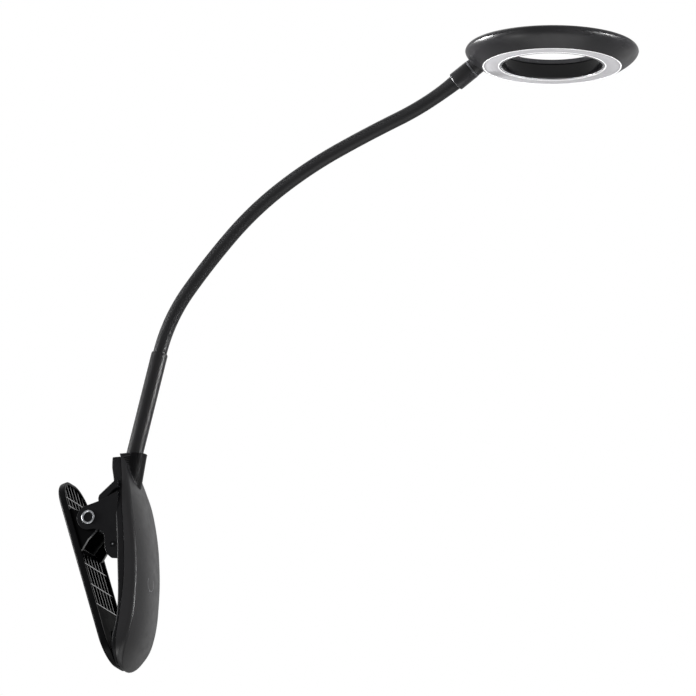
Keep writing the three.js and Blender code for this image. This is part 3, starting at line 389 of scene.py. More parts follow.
# %% Opal acrylic
def opal(name, tone, deep):
    """A milky sheet that light sinks into."""
    material, tree = finish_named(name)
    body = node(tree, "ShaderNodeBsdfPrincipled", {
        "Base Color": two_tones(tree, noise(tree, 6, 3), tone, deep),
        "Roughness": 0.38, "IOR": 1.49,
        "Subsurface Weight": 0.35, "Subsurface Radius": (1.0, 1.0, 1.0),
        "Subsurface Scale": 1.2 * MM, "Normal": grain(tree, 0.3, 0.004),
    })
    close(tree, body.outputs["BSDF"])
    return material


def edge_lit(name, tone, glow):
    """A polished acrylic edge pipes light from the whole sheet; the glow paints that highlight on.
    """
    material, tree = finish_named(name)
    cloud = noise(tree, 2.5, 3)
    tint = two_tones(tree, cloud, tone, "ffffff")
    body = node(tree, "ShaderNodeBsdfPrincipled", {
        "Base Color": tint, "Roughness": spread(tree, cloud, 0.12, 0.2), "IOR": 1.49,
        "Emission Color": tint, "Emission Strength": glow,
    })
    close(tree, body.outputs["BSDF"])
    return material


opal_acrylic = opal("opal acrylic", "dddce0", "e3e2e6")
rim_glow_painted_highlight = edge_lit("acrylic rims with painted glow", "f2f2f4", 0.6)
# These light greys are painted highlights on the collar mouth, the lining lip, the seam and the
# bevel.
mouth_painted_highlight = moulded("collar mouth with painted highlight", "8a8a8e", "9a9a9e", 0.3, 0.4, 0.001)
lining_lip_painted_highlight = moulded("lining lip with painted highlight", "c4c4c8", "d2d2d6", 0.3, 0.4, 0.001)
seam_chamfer_painted_highlight = moulded("seam and bevel with painted highlight", "4c4c50", "5a5a5e", 0.3, 0.4, 0.001)
print("finishes with the ring's:", len(bpy.data.materials))

# %% [markdown]
# ### Which piece wears what
# A piece wears one finish, and a few pieces wear a second one on chosen faces: the tops of the
# ribs, the edges of the lugs, the bevel round the hole. These second finishes are lighter greys
# that stand for light caught there, painted highlights, and the boss wears a darker one, painted
# shade. Faces are chosen by where they are or point, so nothing is painted by hand.


# %% Dressing the pieces
def wear(piece, material):
    """Gives the whole piece one finish."""
    piece.data.materials.clear()
    piece.data.materials.append(material)
    return piece


def lighter(piece, material, chosen):
    """Gives the chosen faces a second finish."""
    piece.data.materials.append(material)
    index = len(piece.data.materials) - 1
    for face in piece.data.polygons:
        if chosen(face):
            face.material_index = index


CAD_FINISHES = {
    "battery_cell": cell_foil, "battery_foam": foam, "battery_lead_red": red_sleeve,
    "battery_lead_black": sleeve_rubber, "control_board": board_green, "led_board": board_white,
    "touch_electrode": copper, "head_lead": copper, "charging_socket": bright_steel,
    "head_ferrule": brass, "neck_root_ferrule": brass, "neck_set_screw": bright_steel,
}
for label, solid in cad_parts.items():
    choice = CAD_FINISHES.get(label)
    if "screw" in label:
        choice = bright_steel
    elif label.startswith("neck_core"):
        choice = core_steel
    elif label.startswith("neck_wire"):
        choice = copper
    wear(solid, choice or satin_abs)
print("solids finished:", len(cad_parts))

# %% [markdown]
# ## The clip's front shell
# It is one moulding, crowned across, full in the middle and drawn back to a rounded foot. At the
# top it swells into a round boss that grips the neck. The boss leans with the neck, so where it
# leaves the sloping face the two surfaces meet in a soft V.
#
# Four curves describe the clip from bottom to top: where its seam is, how far forward and how
# far back it reaches, and how wide it is. Each is a short list of heights and values with a
# smooth line through them. One level of the shell is a half ring with rounded corners, and the
# shell is a skin through many levels, which crowd towards the foot where it turns fastest.

# %% The outlines of the clip body
seam_at = curve_through([
    (-60.5, -7.4), (-54, -6.4), (-44, -4.8), (-28, -2.3), (-14, -0.7), (0, -0.4),
    (14, -0.8), (25, -1.7), (42, -3.8), (50, -5.4), (62, -8.4),
])
front_at = curve_through([
    (-60.5, -6), (-57, -3.4), (-53, -0.9), (-47, 2.4), (-40, 4.8), (-33, 6.3), (-25, 7.2),
    (-10, 8), (5, 7.6), (14, 6.8), (24, 5.3), (33, 3.5), (40, 1.4), (50, -1.8), (57, -4.4),
    (62, -6.4),
])
rear_at = curve_through([
    (-58.5, -8.4), (-50, -8.2), (-44, -7.2), (-38, -5.6), (-30, -4.5), (-20, -4.1), (-5, -4.4),
    (14, -4.9), (33, -6.5), (44, -9), (52, -11.4), (57, -12),
])
shoulder_at = curve_through([
    (16, 1), (26, 0.974), (34, 0.889), (42, 0.737), (50, 0.547), (57, 0.385), (62, 0.37),
])  # share of the half width


def half_width(z):
    """Half the clip's width at a height."""
    up = BOTTOM + BOTTOM_CORNER - z
    if up > 0:
        return HALF_WIDTH - BOTTOM_CORNER + math.sqrt(max(BOTTOM_CORNER**2 - up**2, 0))
    return HALF_WIDTH * (min(shoulder_at(z), 1) if z > 16 else 1)


CROWN = 2  # how far the middle of the front face stands out past its sides


def half_ring(width, flat, far, corner, crown, steps=12):
    """One level of a shell: flat on the seam, rounded corners, crowned outer face."""
    way = 1 if far > flat else -1
    bulge = crown * (width / HALF_WIDTH) ** 2
    depth = abs(far - flat)
    radius = min(corner, (depth - bulge) * 0.8, width * 0.6)
    flat_half = width - radius
    edge = depth - bulge * (flat_half / width) ** 2 - radius
    near = [(0, -width), (min(0.25, edge * 0.5), -width)]
    near += [(edge + x, -flat_half + y) for x, y in bow(0, 0, radius, -90, 0, 8)]
    for k in range(1, steps):
        y = -flat_half * (1 - k / steps)
        near.append((depth - bulge * (y / width) ** 2, y))
    both = near + [(depth, 0)] + [(x, -y) for x, y in reversed(near)]
    return [(flat + way * x, y) for x, y in both]


def levels(low, high, step):
    """Heights that crowd towards the rounded foot."""
    foot = [BOTTOM + BOTTOM_CORNER * (1 - math.cos(math.radians(a))) for a in range(6, 90, 6)]
    count = int((high - (BOTTOM + BOTTOM_CORNER)) / step)
    rest = [BOTTOM + BOTTOM_CORNER + (high - BOTTOM - BOTTOM_CORNER) * k / count
            for k in range(count + 1)]
    return [low] + [z for z in foot + rest if low + 0.1 < z < high - 0.1] + [high]


print("body half widths", [round(half_width(z), 1) for z in (-60, -50, 0, 40, 57)])

# %% [markdown]
# ### A boss that grows out of the face
# A separate cone joined on would leave a hard line all round. Here every point of the face asks
# how far forward the leaning cone reaches at that place and takes whichever is further, with a
# soft step between them, so the shell stays one skin. The cone leans, so the height along its
# axis depends on how far forward the point is. Four rounds of correcting are enough.

# %% The front shell with its boss
BOSS_RADIUS = 6.8
BOSS_FLARE = 0.075  # how much wider the boss gets with each millimetre down
BOSS_FOOT = 30  # no part of the boss reaches below this height
BEHIND = -99  # far behind the face, where there is no boss
NECK_RISE = math.radians(NECK_HEADING)
NECK_WAY = Vector((math.cos(NECK_RISE), 0, math.sin(NECK_RISE)))


def boss_front(y, z):
    """How far forward the leaning boss reaches at a point of the face. It widens downwards."""
    x, dz = NECK_BASE[0], z - NECK_BASE[1]
    for _ in range(4):
        along = (x - NECK_BASE[0]) * NECK_WAY.x + dz * NECK_WAY.z
        radius = BOSS_RADIUS - BOSS_FLARE * min(along, 0)
        if abs(y) >= radius:
            return BEHIND
        x = NECK_BASE[0] + (dz * NECK_WAY.x + math.sqrt(radius**2 - y * y)) / NECK_WAY.z
    return x


def soft_max(a, b, blend=0.35):
    """The greater of two values, rounded off where they are close."""
    h = max(blend - abs(a - b), 0) / blend
    return max(a, b) + h * h * blend * 0.25


def on_boss(face):
    x, y, z = drawn(face.center)
    return BOSS_FOOT < z < TOP - 0.01 and boss_front(y, z) > x - 0.05


def front_shell():
    fine_from, fine_step = 34, 0.5
    fine = [fine_from + fine_step * k for k in range(1, 51)]
    heights = levels(BOTTOM, fine_from, 1.6) + fine + [TOP]
    rings = []
    for z in heights:
        flat = seam_at(z) + SEAM_GAP / 2
        ring = half_ring(half_width(z), flat, front_at(z), 3, CROWN, 28)
        places = []
        for k, (x, y) in enumerate(ring):
            on_seam = k in (0, len(ring) - 1)
            if z >= BOSS_FOOT and not on_seam:
                x = soft_max(x, boss_front(y, z))
            places.append(at(x, y, z))
        rings.append(places)
    shell = wear(through("front_shell_skin", rings, smooth=50), satin_abs)
    # The boss faces get a darker finish with weak shine, which is painted shade.
    lighter(shell, boss_painted_shade, on_boss)
    return soften(shell, 0.5, 3, 55)


front = front_shell()
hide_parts("clip_front_shell")
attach(front, "clip")
print("front shell faces", len(front.data.polygons))

# %% [markdown]
# ## The rear shell, its ears and web
# The rear shell closes the back of the body. Two ears stand out of it and carry the pin that
# the lever turns on, and a web joins them at the top. The ears take the whole pull of the
# spring, so they are deep.
#
# The ears and the web are flat outlines with a thickness, with a round stretch about the pin.
# Then the openings are cut: a slot with round ends for the charging socket, which sits across
# the seam and so cuts both shells, and a round hole down to each screw's head. Where they go
# is read from the frame's own solids.


# %% The rear shell
def cut_out(cutter, *pieces):
    """Takes the cutter's shape out of each piece, before its edges are softened."""
    for piece in pieces:
        cutting = piece.modifiers.new("opening", "BOOLEAN")
        cutting.object = cutter
        cutting.solver = "EXACT"
        piece.modifiers.move(len(piece.modifiers) - 1, 0)
        bpy.context.view_layer.objects.active = piece
        bpy.ops.object.modifier_apply(modifier=cutting.name)
    bpy.data.objects.remove(cutter, do_unlink=True)


def port_cutter():
    """A slot with round ends, a little larger than the socket, in from the side of the body."""
    low, high = (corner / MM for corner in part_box("charging_socket"))
    middle, half = (low + high) / 2, (high - low) / 2
    half_x, half_z = half.x + SEAM_GAP / 2, half.z + SEAM_GAP / 2
    top = bow(0, half_z - half_x, half_x, 0, 180, 12)
    foot = bow(0, half_x - half_z, half_x, 180, 360, 12)
    bm = bmesh.new()
    plate(bm, top + foot, low.y, HALF_WIDTH + 3,
          lambda a, b, t: Vector((middle.x + a, t, middle.z + b)) * MM)
    return tidy("port cutter", bm)


def screw_cutter(label):
    """A round hole from the back of the rear shell down to a screw's head."""
    low, high = (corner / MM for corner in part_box(label))
    middle = (low + high) / 2
    clearance, head_thick = 0.25, 1.2
    outline = bow(0, 0, (high.z - low.z) / 2 + clearance, 0, 345, 23)
    bm = bmesh.new()
    plate(bm, outline, low.x - 8, low.x + head_thick,
          lambda a, b, t: Vector((t, middle.y + a, middle.z + b)) * MM)
    return tidy("screw cutter", bm)


def upright(a, b, t):
    """Places a side-view outline point (a, b) at t across the clip."""
    return at(a, t, b)


EAR_OUT, EAR_THICK, EAR_RADIUS = 18.6, 2.4, 6.8
WEB_INSET = 0.9  # from the ears' outer faces to the web's ends
EAR_OUTLINE = [
    (-4, 35.8), (-5.3, 35.2), (-15.3, 30.9), *bow(*PIN, EAR_RADIUS, 100, 285, 28),
    (-15.2, 15.2), (-12.6, 13), (-11.9, 9.5), (-11.8, 4.4), (-10.6, 1), (-8.2, -1.2), (-4, -1.8),
]
WEB_OUTLINE = [
    (-4.5, 42.6), (-6, 42.2), (-15.4, 34.4), (-16, 32.6), (-15.6, 30), (-13.4, 30.6), (-6, 37.4),
    (-4.5, 37.6),
]


def rear_shell():
    rings = []
    for z in levels(BOTTOM + 2, TOP - 1.8, 3):
        flat = seam_at(z) - SEAM_GAP / 2
        ring = half_ring(half_width(z), flat, rear_at(z), 1.1, 0)
        rings.append([at(x, y, z) for x, y in ring])
    cover = soften(through("cover", rings, smooth=50), 0.3, 2, 60)
    bm = bmesh.new()
    for side in (-1, 1):
        plate(bm, EAR_OUTLINE, side * (EAR_OUT - EAR_THICK), side * EAR_OUT, upright)
    plate(bm, WEB_OUTLINE, WEB_INSET - EAR_OUT, EAR_OUT - WEB_INSET, upright)
    ears = soften(tidy("ears", bm), 0.35, 2)
    for part, name in ((cover, "rear_shell_skin"), (ears, "rear_ears_skin")):
        part.name = name
        # The rear shell and the ears get a darker finish with weak shine: painted shade.
        wear(part, rear_painted_shade)
        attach(part, "clip")
    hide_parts("clip_rear_shell")
    return cover, ears


rear, ears = rear_shell()
cut_out(port_cutter(), front, rear)
for k in range(1, 5):
    cut_out(screw_cutter(f"housing_screw_{k}"), rear)
print("rear shell pieces", rear.name, ears.name)

# %% [markdown]
# ## The lever
# The lever is a shallow tray, open towards the body and stiffened by a lattice of thin ribs,
# above the pin for the thumb and below it down to the pad. A thin tray with ribs is as stiff as
# a thick slab, with far less plastic. Its rib tops catch the light, which is painted on them as a
# lighter finish, and the lever's black is darkened as painted shade.
#
# The lever leans, so it gets a drawing of its own: how far down from the pin, how far across,
# and how far out towards the body. `on_lever` turns that into a place in the frame. Two lugs
# reach from the tray to the pin. The tip is cut off flat against the jaw, as it is in the mould.

# %% The lever's own drawing and its tray
TILT = math.radians(LEVER_TILT)
DOWN = Vector((math.sin(TILT), 0, -math.cos(TILT)))
OUT = Vector((math.cos(TILT), 0, math.sin(TILT)))


def on_lever(down, y, out):
    """A place on the lever's own drawing, in the frame."""
    spot = Vector((PIN[0], y, PIN[1])) + DOWN * down + OUT * out
    return at(*spot)


LEVER_TOP, LEVER_TIP = -28, 81  # down from the pin
LEVER_HALF, WALL = 18.7, 1.6
TOP_CORNER, TIP_CORNER = 15.5, 15
BACK, RIM, FLOOR = -13.5, -9.2, -11.7  # out from the pin
RIB_HALF, RIB_DROP = 0.4, 0.8  # half a rib's thickness, and how far its top is below the rim
RIBS_ALONG = 6
CROSS_RIBS = (22.4, 34.7, 46.4)
RIB_START, LOW_RIB = 15.6, 11.5
THUMB_CROSS_RIBS = (LEVER_TOP + 11, LEVER_TOP + 16)
LUG = (13.7, 15.9)  # across, inside and outside faces
TIP_FACE = -9.15  # how far forward the tip is cut off


def tray_ring(inset, height):
    top, tip, half = LEVER_TOP + inset, LEVER_TIP - inset, LEVER_HALF - inset
    small, big = TOP_CORNER - inset, TIP_CORNER - inset
    outline = (
        bow(tip - big, -half + big, big, 270, 360, 14)
        + bow(tip - big, half - big, big, 0, 90, 14)
        + bow(top + small, half - small, small, 90, 180, 12)
        + bow(top + small, -half + small, small, 180, 270, 12)
    )
    return [on_lever(a, b, height) for a, b in outline]


print("lever", LEVER_TIP - LEVER_TOP, "mm long")


# %% The lever's ribs
def lever_ribs(bm):
    top, low, sunk = RIM - RIB_DROP, FLOOR - 0.4, 0.2  # ribs are sunk into floor and walls
    inside = LEVER_HALF - WALL
    flat, corner = LEVER_HALF - TOP_CORNER, TOP_CORNER - WALL  # of the thumb end's inside
    thumb_middle = LEVER_TOP + TOP_CORNER

    def bar(a0, a1, b0, b1, high):
        plate(bm, [(a0, b0), (a1, b0), (a1, b1), (a0, b1)], low, high, on_lever)

    def across(down, half, high):
        bar(down - RIB_HALF, down + RIB_HALF, -half - sunk, half + sunk, high)

    for down in CROSS_RIBS:
        across(down, inside, top)
    for down in THUMB_CROSS_RIBS:
        up = max(thumb_middle - down, 0)
        across(down, flat + math.sqrt(corner**2 - up**2), top)
    across(LOW_RIB, inside, FLOOR + 0.5)
    for k in range(1, RIBS_ALONG + 1):
        y = 2 * inside * k / (RIBS_ALONG + 1) - inside
        bar(RIB_START, CROSS_RIBS[-1], y - RIB_HALF, y + RIB_HALF, top - 0.1)
        past = max(abs(y) - flat, 0)
        start = thumb_middle - math.sqrt(corner**2 - past**2) - 0.3
        bar(start, LEVER_TOP + 19, y - RIB_HALF, y + RIB_HALF, top)


def is_rib_top(face):
    """True for faces that look straight out of the lever."""
    return face.normal.dot(OUT) > 0.8


def is_cross_rib(face):
    """True for the tops of the ribs that run across the lever."""
    spot = drawn(face.center) - Vector((PIN[0], 0, PIN[1]))
    down = spot.dot(DOWN)
    crossing = any(abs(down - place) < RIB_HALF + 0.05 for place in CROSS_RIBS)
    return crossing and is_rib_top(face) and spot.dot(OUT) > RIM - RIB_DROP - 0.05


print("cross ribs at", CROSS_RIBS, "mm down from the pin")


# %% The lever put together
def lever():
    rings = [
        tray_ring(1.5, BACK), tray_ring(0.7, BACK + 0.2), tray_ring(0.2, BACK + 0.7),
        tray_ring(0, BACK + 1.4), tray_ring(0, RIM - 0.25), tray_ring(0.25, RIM),
        tray_ring(WALL - 0.25, RIM), tray_ring(WALL, RIM - 0.25), tray_ring(WALL, FLOOR),
    ]
    bm = skin(bmesh.new(), rings)
    tip = at(TIP_FACE, 0, BOTTOM)
    cut = bmesh.ops.bisect_plane(bm, geom=bm.verts[:] + bm.edges[:] + bm.faces[:], plane_co=tip,
                                 plane_no=(1, 0, 0), clear_outer=True, dist=1e-7)
    edges = [e for e in cut["geom_cut"] if isinstance(e, bmesh.types.BMEdge)]
    bmesh.ops.holes_fill(bm, edges=edges, sides=0)
    tray = tidy("tray", bm, 40)
    bm = bmesh.new()
    lever_ribs(bm)
    ribs = soften(tidy("ribs", bm), 0.18, 2)
    bm = bmesh.new()
    lug = [(-10.5, FLOOR - 0.5), (-9.2, -8), *bow(0, 0, EAR_RADIUS, 215, 45, 24),
           (8.2, 0.7), (10.7, -4.5), (14.9, -9.3), (15.4, FLOOR - 0.5)]
    inner_face, outer_face = LUG
    for low, high in ((inner_face, outer_face), (-outer_face, -inner_face)):
        plate(bm, lug, low, high, lambda a, b, t: on_lever(a, t, b))
    lugs = soften(tidy("lugs", bm), 0.35, 2)
    for part, name in ((tray, "lever_tray"), (ribs, "lever_ribs"), (lugs, "lever_lugs")):
        part.name = name
        # The lever's pieces get a darker finish with weak shine: painted shade.
        wear(part, lever_painted_shade)
        if part is lugs:
            # The lug edges get a lighter finish: a painted highlight.
            lighter(part, lug_edge_painted_highlight, lambda face: abs(face.normal.y) < 0.5)
        if part is ribs:
            # The rib tops get lighter finishes, lightest on the cross ribs: painted highlights.
            lighter(part, rib_top_painted_highlight, is_rib_top)
            lighter(part, cross_rib_painted_highlight, is_cross_rib)
        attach(part, "lever")
    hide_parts("clamp_lever")
    return tray, ribs, lugs


tray, ribs, lugs = lever()
print("lever faces", sum(len(p.data.polygons) for p in (tray, ribs, lugs)))

# %% [markdown]
# ## The pads, the pin and the spring
# Two soft rubber pads do the gripping, one sunk in the body and one in the lever's tip. Rubber
# is matt and very dark, so the pads read as another material even in shade.
#
# The pin is a hollow rivet. Its rolled head is the bright ring on the ear that the eye finds at
# once. A flat ring holds it on the far side.
#
# The torsion spring is wound about the pin. One leg rests against a small pin in the ears and
# the other against the floor of the lever. When the lever opens, that second leg goes with it.
# Here the spring is drawn with the jaws shut and is tied to neither the clip nor the lever. Its
# legs wear a thin black sleeve.


# %% Pads
def body_pad():
    behind = 1.5  # the pad's thickness
    steps = [(-41.5, 16.2), (-44.5, 16.2), (-47.5, 16.2), (-51.5, 14.4), (-53.6, 12.8), (-55.5, 11)]
    rings = []
    for z, w in steps:
        rings.append([at(JAW_FACE + behind, -w, z), at(JAW_FACE + behind, w, z),
                      at(JAW_FACE, w, z), at(JAW_FACE, -w, z)])
    return soften(through("body_pad_skin", rings), 0.4, 3)


def lever_pad():
    half = LEVER_HALF - WALL - 0.3
    steps = [(47.2, half, 0), (66, half, 0), (69, half - 0.6, 0), (73, half - 2.7, 0),
             (75.4, half - 4.9, 0), (78.2, half - 8.6, 0.75)]
    rings = []
    for down, w, drop in steps:
        low, face = FLOOR + 0.3, RIM - 0.7 - drop
        rings.append([on_lever(down, -w, low), on_lever(down, w, low),
                      on_lever(down, w, face), on_lever(down, -w, face)])
    return soften(through("lever_pad_skin", rings), 0.35, 3)


for pad, node_name, body in ((body_pad(), "fixed_jaw_pad", "clip"),
                             (lever_pad(), "moving_jaw_pad", "lever")):
    wear(pad, pad_rubber)
    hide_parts(node_name)
    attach(pad, body)
print("pads placed")


# %% The pin, its ring and the rest pin
def along_pin(p):
    """Turns a piece made about +Z on to the pin's line."""
    return at(PIN[0] + p.x, p.z, PIN[1] + p.y)


PIN_RADIUS, PIN_BORE, PIN_END = 3.1, 2.5, EAR_OUT + 1.2
head_low = -EAR_OUT - 0.3 - 0.8
rivet = turned("pivot_pin_skin", [
    (PIN_BORE, PIN_END), (PIN_BORE, head_low + 0.7), (2.75, head_low + 0.25),
    (PIN_RADIUS, head_low), (3.45, head_low + 0.05), (3.8, head_low + 0.3),
    (3.9, head_low + 0.55), (3.85, head_low + 0.8), (PIN_RADIUS, head_low + 0.8),
    (PIN_RADIUS, PIN_END),
], 64, along_pin)
ring = turned("retaining_ring_skin", [
    (3.4, EAR_OUT + 0.3), (4.5, EAR_OUT + 0.3), (4.7, EAR_OUT + 0.45), (4.7, EAR_OUT + 0.85),
    (4.5, EAR_OUT + 1), (3.4, EAR_OUT + 1),
], 48, along_pin)
REST = (-7.1, 6.2)  # the spring's rest pin, forward and up
REST_RADIUS = 1.1


def along_rest(p):
    return at(REST[0] + p.x, p.z, REST[1] + p.y)


rest_pin = turned("spring_rest_pin_skin", [
    (0, -EAR_OUT - 0.05), (0.4, -EAR_OUT), (0.8, 0.25 - EAR_OUT), (1.0, 0.6 - EAR_OUT),
    (1.0, EAR_OUT - 0.6), (0.8, EAR_OUT - 0.25), (0, EAR_OUT - 0.05),
], 32, along_rest)
bush = turned("rest_pin_bush", [
    (REST_RADIUS, -EAR_OUT - 0.02), (1.2, -EAR_OUT - 0.14), (1.6, -EAR_OUT - 0.14),
    (1.75, 0.05 - EAR_OUT), (REST_RADIUS, 0.05 - EAR_OUT),
], 32, along_rest)
# The bush wears the same darker finish, painted shade.
wear(bush, lever_painted_shade)
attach(bush, "clip")
for piece, node_name in ((rivet, "pivot_pin"), (ring, "pin_retaining_ring"),
                         (rest_pin, "spring_rest_pin")):
    wear(piece, bright_steel)
    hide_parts(node_name)
    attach(piece, "clip")
print("pin", 2 * PIN_RADIUS, "mm thick")

# %% The spring
COIL_RADIUS, COIL_HALF, WIRE_RADIUS = 4.5, 5.4, 0.7
FOOT_DOWN = 12.4  # how far down the lever the second leg ends


def spring_points():
    """The wire's middle line: a leg, the coils, and a leg."""
    half, turns, steps = COIL_HALF, 5, 24
    start = math.atan2(REST[1] - PIN[1] + 1.5, REST[0] - PIN[0]) + math.pi / 2
    coil = []
    for k in range(turns * steps + 1):
        t = k / (turns * steps)
        a = start - t * (turns * 2 * math.pi + 1.2)
        x, z = PIN[0] + COIL_RADIUS * math.cos(a), PIN[1] + COIL_RADIUS * math.sin(a)
        coil.append(at(x, half * (2 * t - 1), z))
    leg = at(REST[0] - 3.2, -half, REST[1] + REST_RADIUS + WIRE_RADIUS + 1.6)
    foot = on_lever(FOOT_DOWN, half, FLOOR + 1)
    first = [leg.lerp(coil[0], k / 8) for k in range(8)]
    last = [coil[-1].lerp(foot, k / 8) for k in range(1, 9)]
    return first + coil + last


def past_coil(spot):
    """True on the legs, which wear a black sleeve."""
    return math.hypot(spot.x - PIN[0], spot.z - PIN[1]) > COIL_RADIUS + 1.1


wire = swept("torsion_spring_skin", spring_points(), WIRE_RADIUS * MM, 12)
spring = wear(wire, spring_steel)
lighter(spring, sleeve_rubber, lambda face: past_coil(drawn(face.center)))
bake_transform(spring)
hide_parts("torsion_spring")
print("spring points", len(spring_points()))

# %% [markdown]
# ## The touch mark
# The switch has no button: a short printed loop shows where to touch, and a copper plate
# behind the shell senses the finger. A decal would need an image, so the loop is a strip that
# follows the crowned face and stands 0.03 mm proud of it, like thick ink.

# %% Touch mark
MARK_Z = -13.2
MARK_OUT, MARK_IN = 4.4, 3.9  # radii of the loop's edges
MARK_STEPS = 40
INK = (-0.3, 0.03)  # the strip's foot and face, from the shell's face


def on_face(y, up, t):
    """A place on the crowned face, t in front of it."""
    z = MARK_Z + up
    bulge = CROWN * (y / HALF_WIDTH) ** 2
    return at(front_at(z) - bulge + t, y, z)


outer = bow(0, 0, MARK_OUT, 145, 395, MARK_STEPS)
inner = bow(0, 0, MARK_IN, 145, 395, MARK_STEPS)
strip = []
for (out_y, out_up), (in_y, in_up) in zip(outer, inner):
    strip.append([on_face(out_y, out_up, INK[0]), on_face(out_y, out_up, INK[1]),
                  on_face(in_y, in_up, INK[1]), on_face(in_y, in_up, INK[0])])
mark = wear(through("touch_mark_skin", strip), mark_ink)
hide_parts("touch_mark")
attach(mark, "clip")
print("touch mark on the face at", MARK_Z)

# %% [markdown]
# ## The neck
# A wound steel core in a smooth sleeve bends anywhere and keeps the bend by friction. In the
# frame it is a chain of six links, so each length of sleeve here runs from the middle of one
# link to the middle of the next. The lengths are drawn with the neck at rest.
#
# At rest the neck is six arcs that each start in the direction where the last one ended, so
# there is no kink. Each arc has the same length and its own turn. The last one bends the other
# way, which lets the head lie level.


# %% The neck's centre line
def heading(angle):
    """The direction at an angle above level."""
    a = math.radians(angle)
    return Vector((math.cos(a), 0, math.sin(a)))


def side(angle):
    """The direction square to a heading, towards the inside of the bend."""
    a = math.radians(angle)
    return Vector((math.sin(a), 0, -math.cos(a)))


base = Vector((NECK_BASE[0], 0, NECK_BASE[1]))
arcs = []
spot, angle = base + heading(NECK_HEADING) * THICK_LENGTH, NECK_HEADING
for turn in NECK_TURNS:
    arcs.append((spot.copy(), angle, turn))
    spot = spot + (side(angle + turn) - side(angle)) * (LINK / math.radians(turn))
    angle += turn
neck_end, neck_end_angle = spot, angle


def on_neck(s):
    """The centre line at s links past the end of the thick sleeve. Below 0 it is straight."""
    if s < 0:
        return base + heading(NECK_HEADING) * (THICK_LENGTH + s * LINK)
    k = min(int(s), len(arcs) - 1)
    start, a, turn = arcs[k]
    t = s - k
    return start + (side(a + turn * t) - side(a)) * (LINK / math.radians(turn))


SLEEVE_RADIUS = 3.75
LINKS = len(NECK_TURNS)
SLEEVE_STEPS = 36


def neck_radius(s):
    """The sleeve flares a little over its last half link, where it meets the collar."""
    flare_length = 0.45
    flare = max(0, (s - LINKS + flare_length) / flare_length)
    return SLEEVE_RADIUS + 0.4 * flare * flare


for n in range(LINKS):
    low = n - 0.5 if n else -0.35
    high = n + 0.5 if n < LINKS - 1 else LINKS
    where = [low + (high - low) * k / SLEEVE_STEPS for k in range(SLEEVE_STEPS + 1)]
    points = [at(*on_neck(s)) for s in where]
    radii = [neck_radius(s) * MM for s in where]
    sleeve = swept(f"neck_sleeve_{n + 1}_skin", points, radii, 32, capped=False)
    wear(sleeve, sleeve_rubber)
    middle = on_neck(n)
    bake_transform(sleeve)
    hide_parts(f"neck_sleeve_{n + 1}")
print("sleeve lengths", LINKS)


# %% The thick root sleeve
def on_axis(origin, way):
    """Says where a point of an upright turned piece goes, on an axis of its own."""
    turn = Vector((0, 0, 1)).rotation_difference(way)

    def place(p):
        q = origin + turn @ p
        return at(*q)

    return place


THICK_RADIUS = 4.5
root = turned("neck_root_skin", [
    (2.9, -4), (THICK_RADIUS, -4), (THICK_RADIUS, THICK_LENGTH - 1.0), (4.38, THICK_LENGTH - 0.5),
    (4.1, THICK_LENGTH - 0.15), (3.82, THICK_LENGTH - 0.15), (3.0, THICK_LENGTH - 1.2),
], 48, on_axis(base, NECK_WAY), 50)
wear(root, sleeve_rubber)
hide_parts("neck_sleeve_root")
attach(root, "clip")
print("root sleeve", THICK_LENGTH)

# %% [markdown]
# ## The head
# The ring head is turned: a soft rounded section, a flat opal light ring underneath, and a
# polished lining in the hole with a fine step where it meets the housing.
#
# Each part of the head is one closed outline, spun round. The flank mixes a quarter wave with a
# straight slope, which gives the full section of a moulded ring. The small numbers in the
# outlines are the steps that a mould leaves: a tenth of a millimetre where two parts meet is
# enough to draw a clean line. The thin rims of the light ring are separate turned rings that
# stand a hair proud of the acrylic.


# %% The head's housing
def on_head(p):
    return at(HEAD[0] + p.x, p.y, HEAD[1] + p.z)


RADIUS, HEIGHT, BELT = 46.9, 11.2, 8.4  # the belt is where the head is widest
LIGHT, HOLE, HOLE_TOP = 37.7, 27.6, 26.8  # radii of the light ring and of the hole
ROUND_STEPS = 160


def flank(steps):
    """The rounded flank from the light ring out to the belt."""
    run = RADIUS - LIGHT
    found = []
    for k in range(steps + 1):
        t = k / steps
        found.append((LIGHT + run * (0.8 * math.sin(t * math.pi / 2) + 0.2 * t), BELT * t))
    return found


housing = turned("head_housing_skin", [
    (LIGHT - 0.1, 0.45), (LIGHT - 0.06, 0.12), (LIGHT, 0.02), *flank(16)[1:],
    *bow(RADIUS - 3, HEIGHT - 3, 3, 4, 90, 12), (36, HEIGHT), (HOLE_TOP + 1.1, HEIGHT),
    (HOLE_TOP + 0.2, HEIGHT - 0.1), (HOLE_TOP, HEIGHT - 0.3), (HOLE_TOP + 0.05, HEIGHT - 0.6),
    (HOLE_TOP + 1.0, HEIGHT - 2.3), (HOLE_TOP + 1.2, HEIGHT - 2.5), (HOLE_TOP + 2.3, HEIGHT - 2.5),
    (HOLE_TOP + 2.3, 9.6), (RADIUS - 4, 9.6), (RADIUS - 2.6, 7), (LIGHT + 1, 2.8),
    (LIGHT - 0.1, 2.6),
], ROUND_STEPS, on_head, 40)
wear(housing, satin_abs)


def in_chamfer(face):
    """True for the bevel round the top of the hole."""
    spot = drawn(face.center) - Vector((HEAD[0], 0, HEAD[1]))
    return math.hypot(spot.x, spot.y) < HOLE_TOP + 0.9 and HEIGHT - 2.3 < spot.z < HEIGHT - 0.6


# The bevel round the hole gets a lighter grey: a painted highlight.
lighter(housing, seam_chamfer_painted_highlight, in_chamfer)
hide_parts("head_housing")
print("housing faces", len(housing.data.polygons))

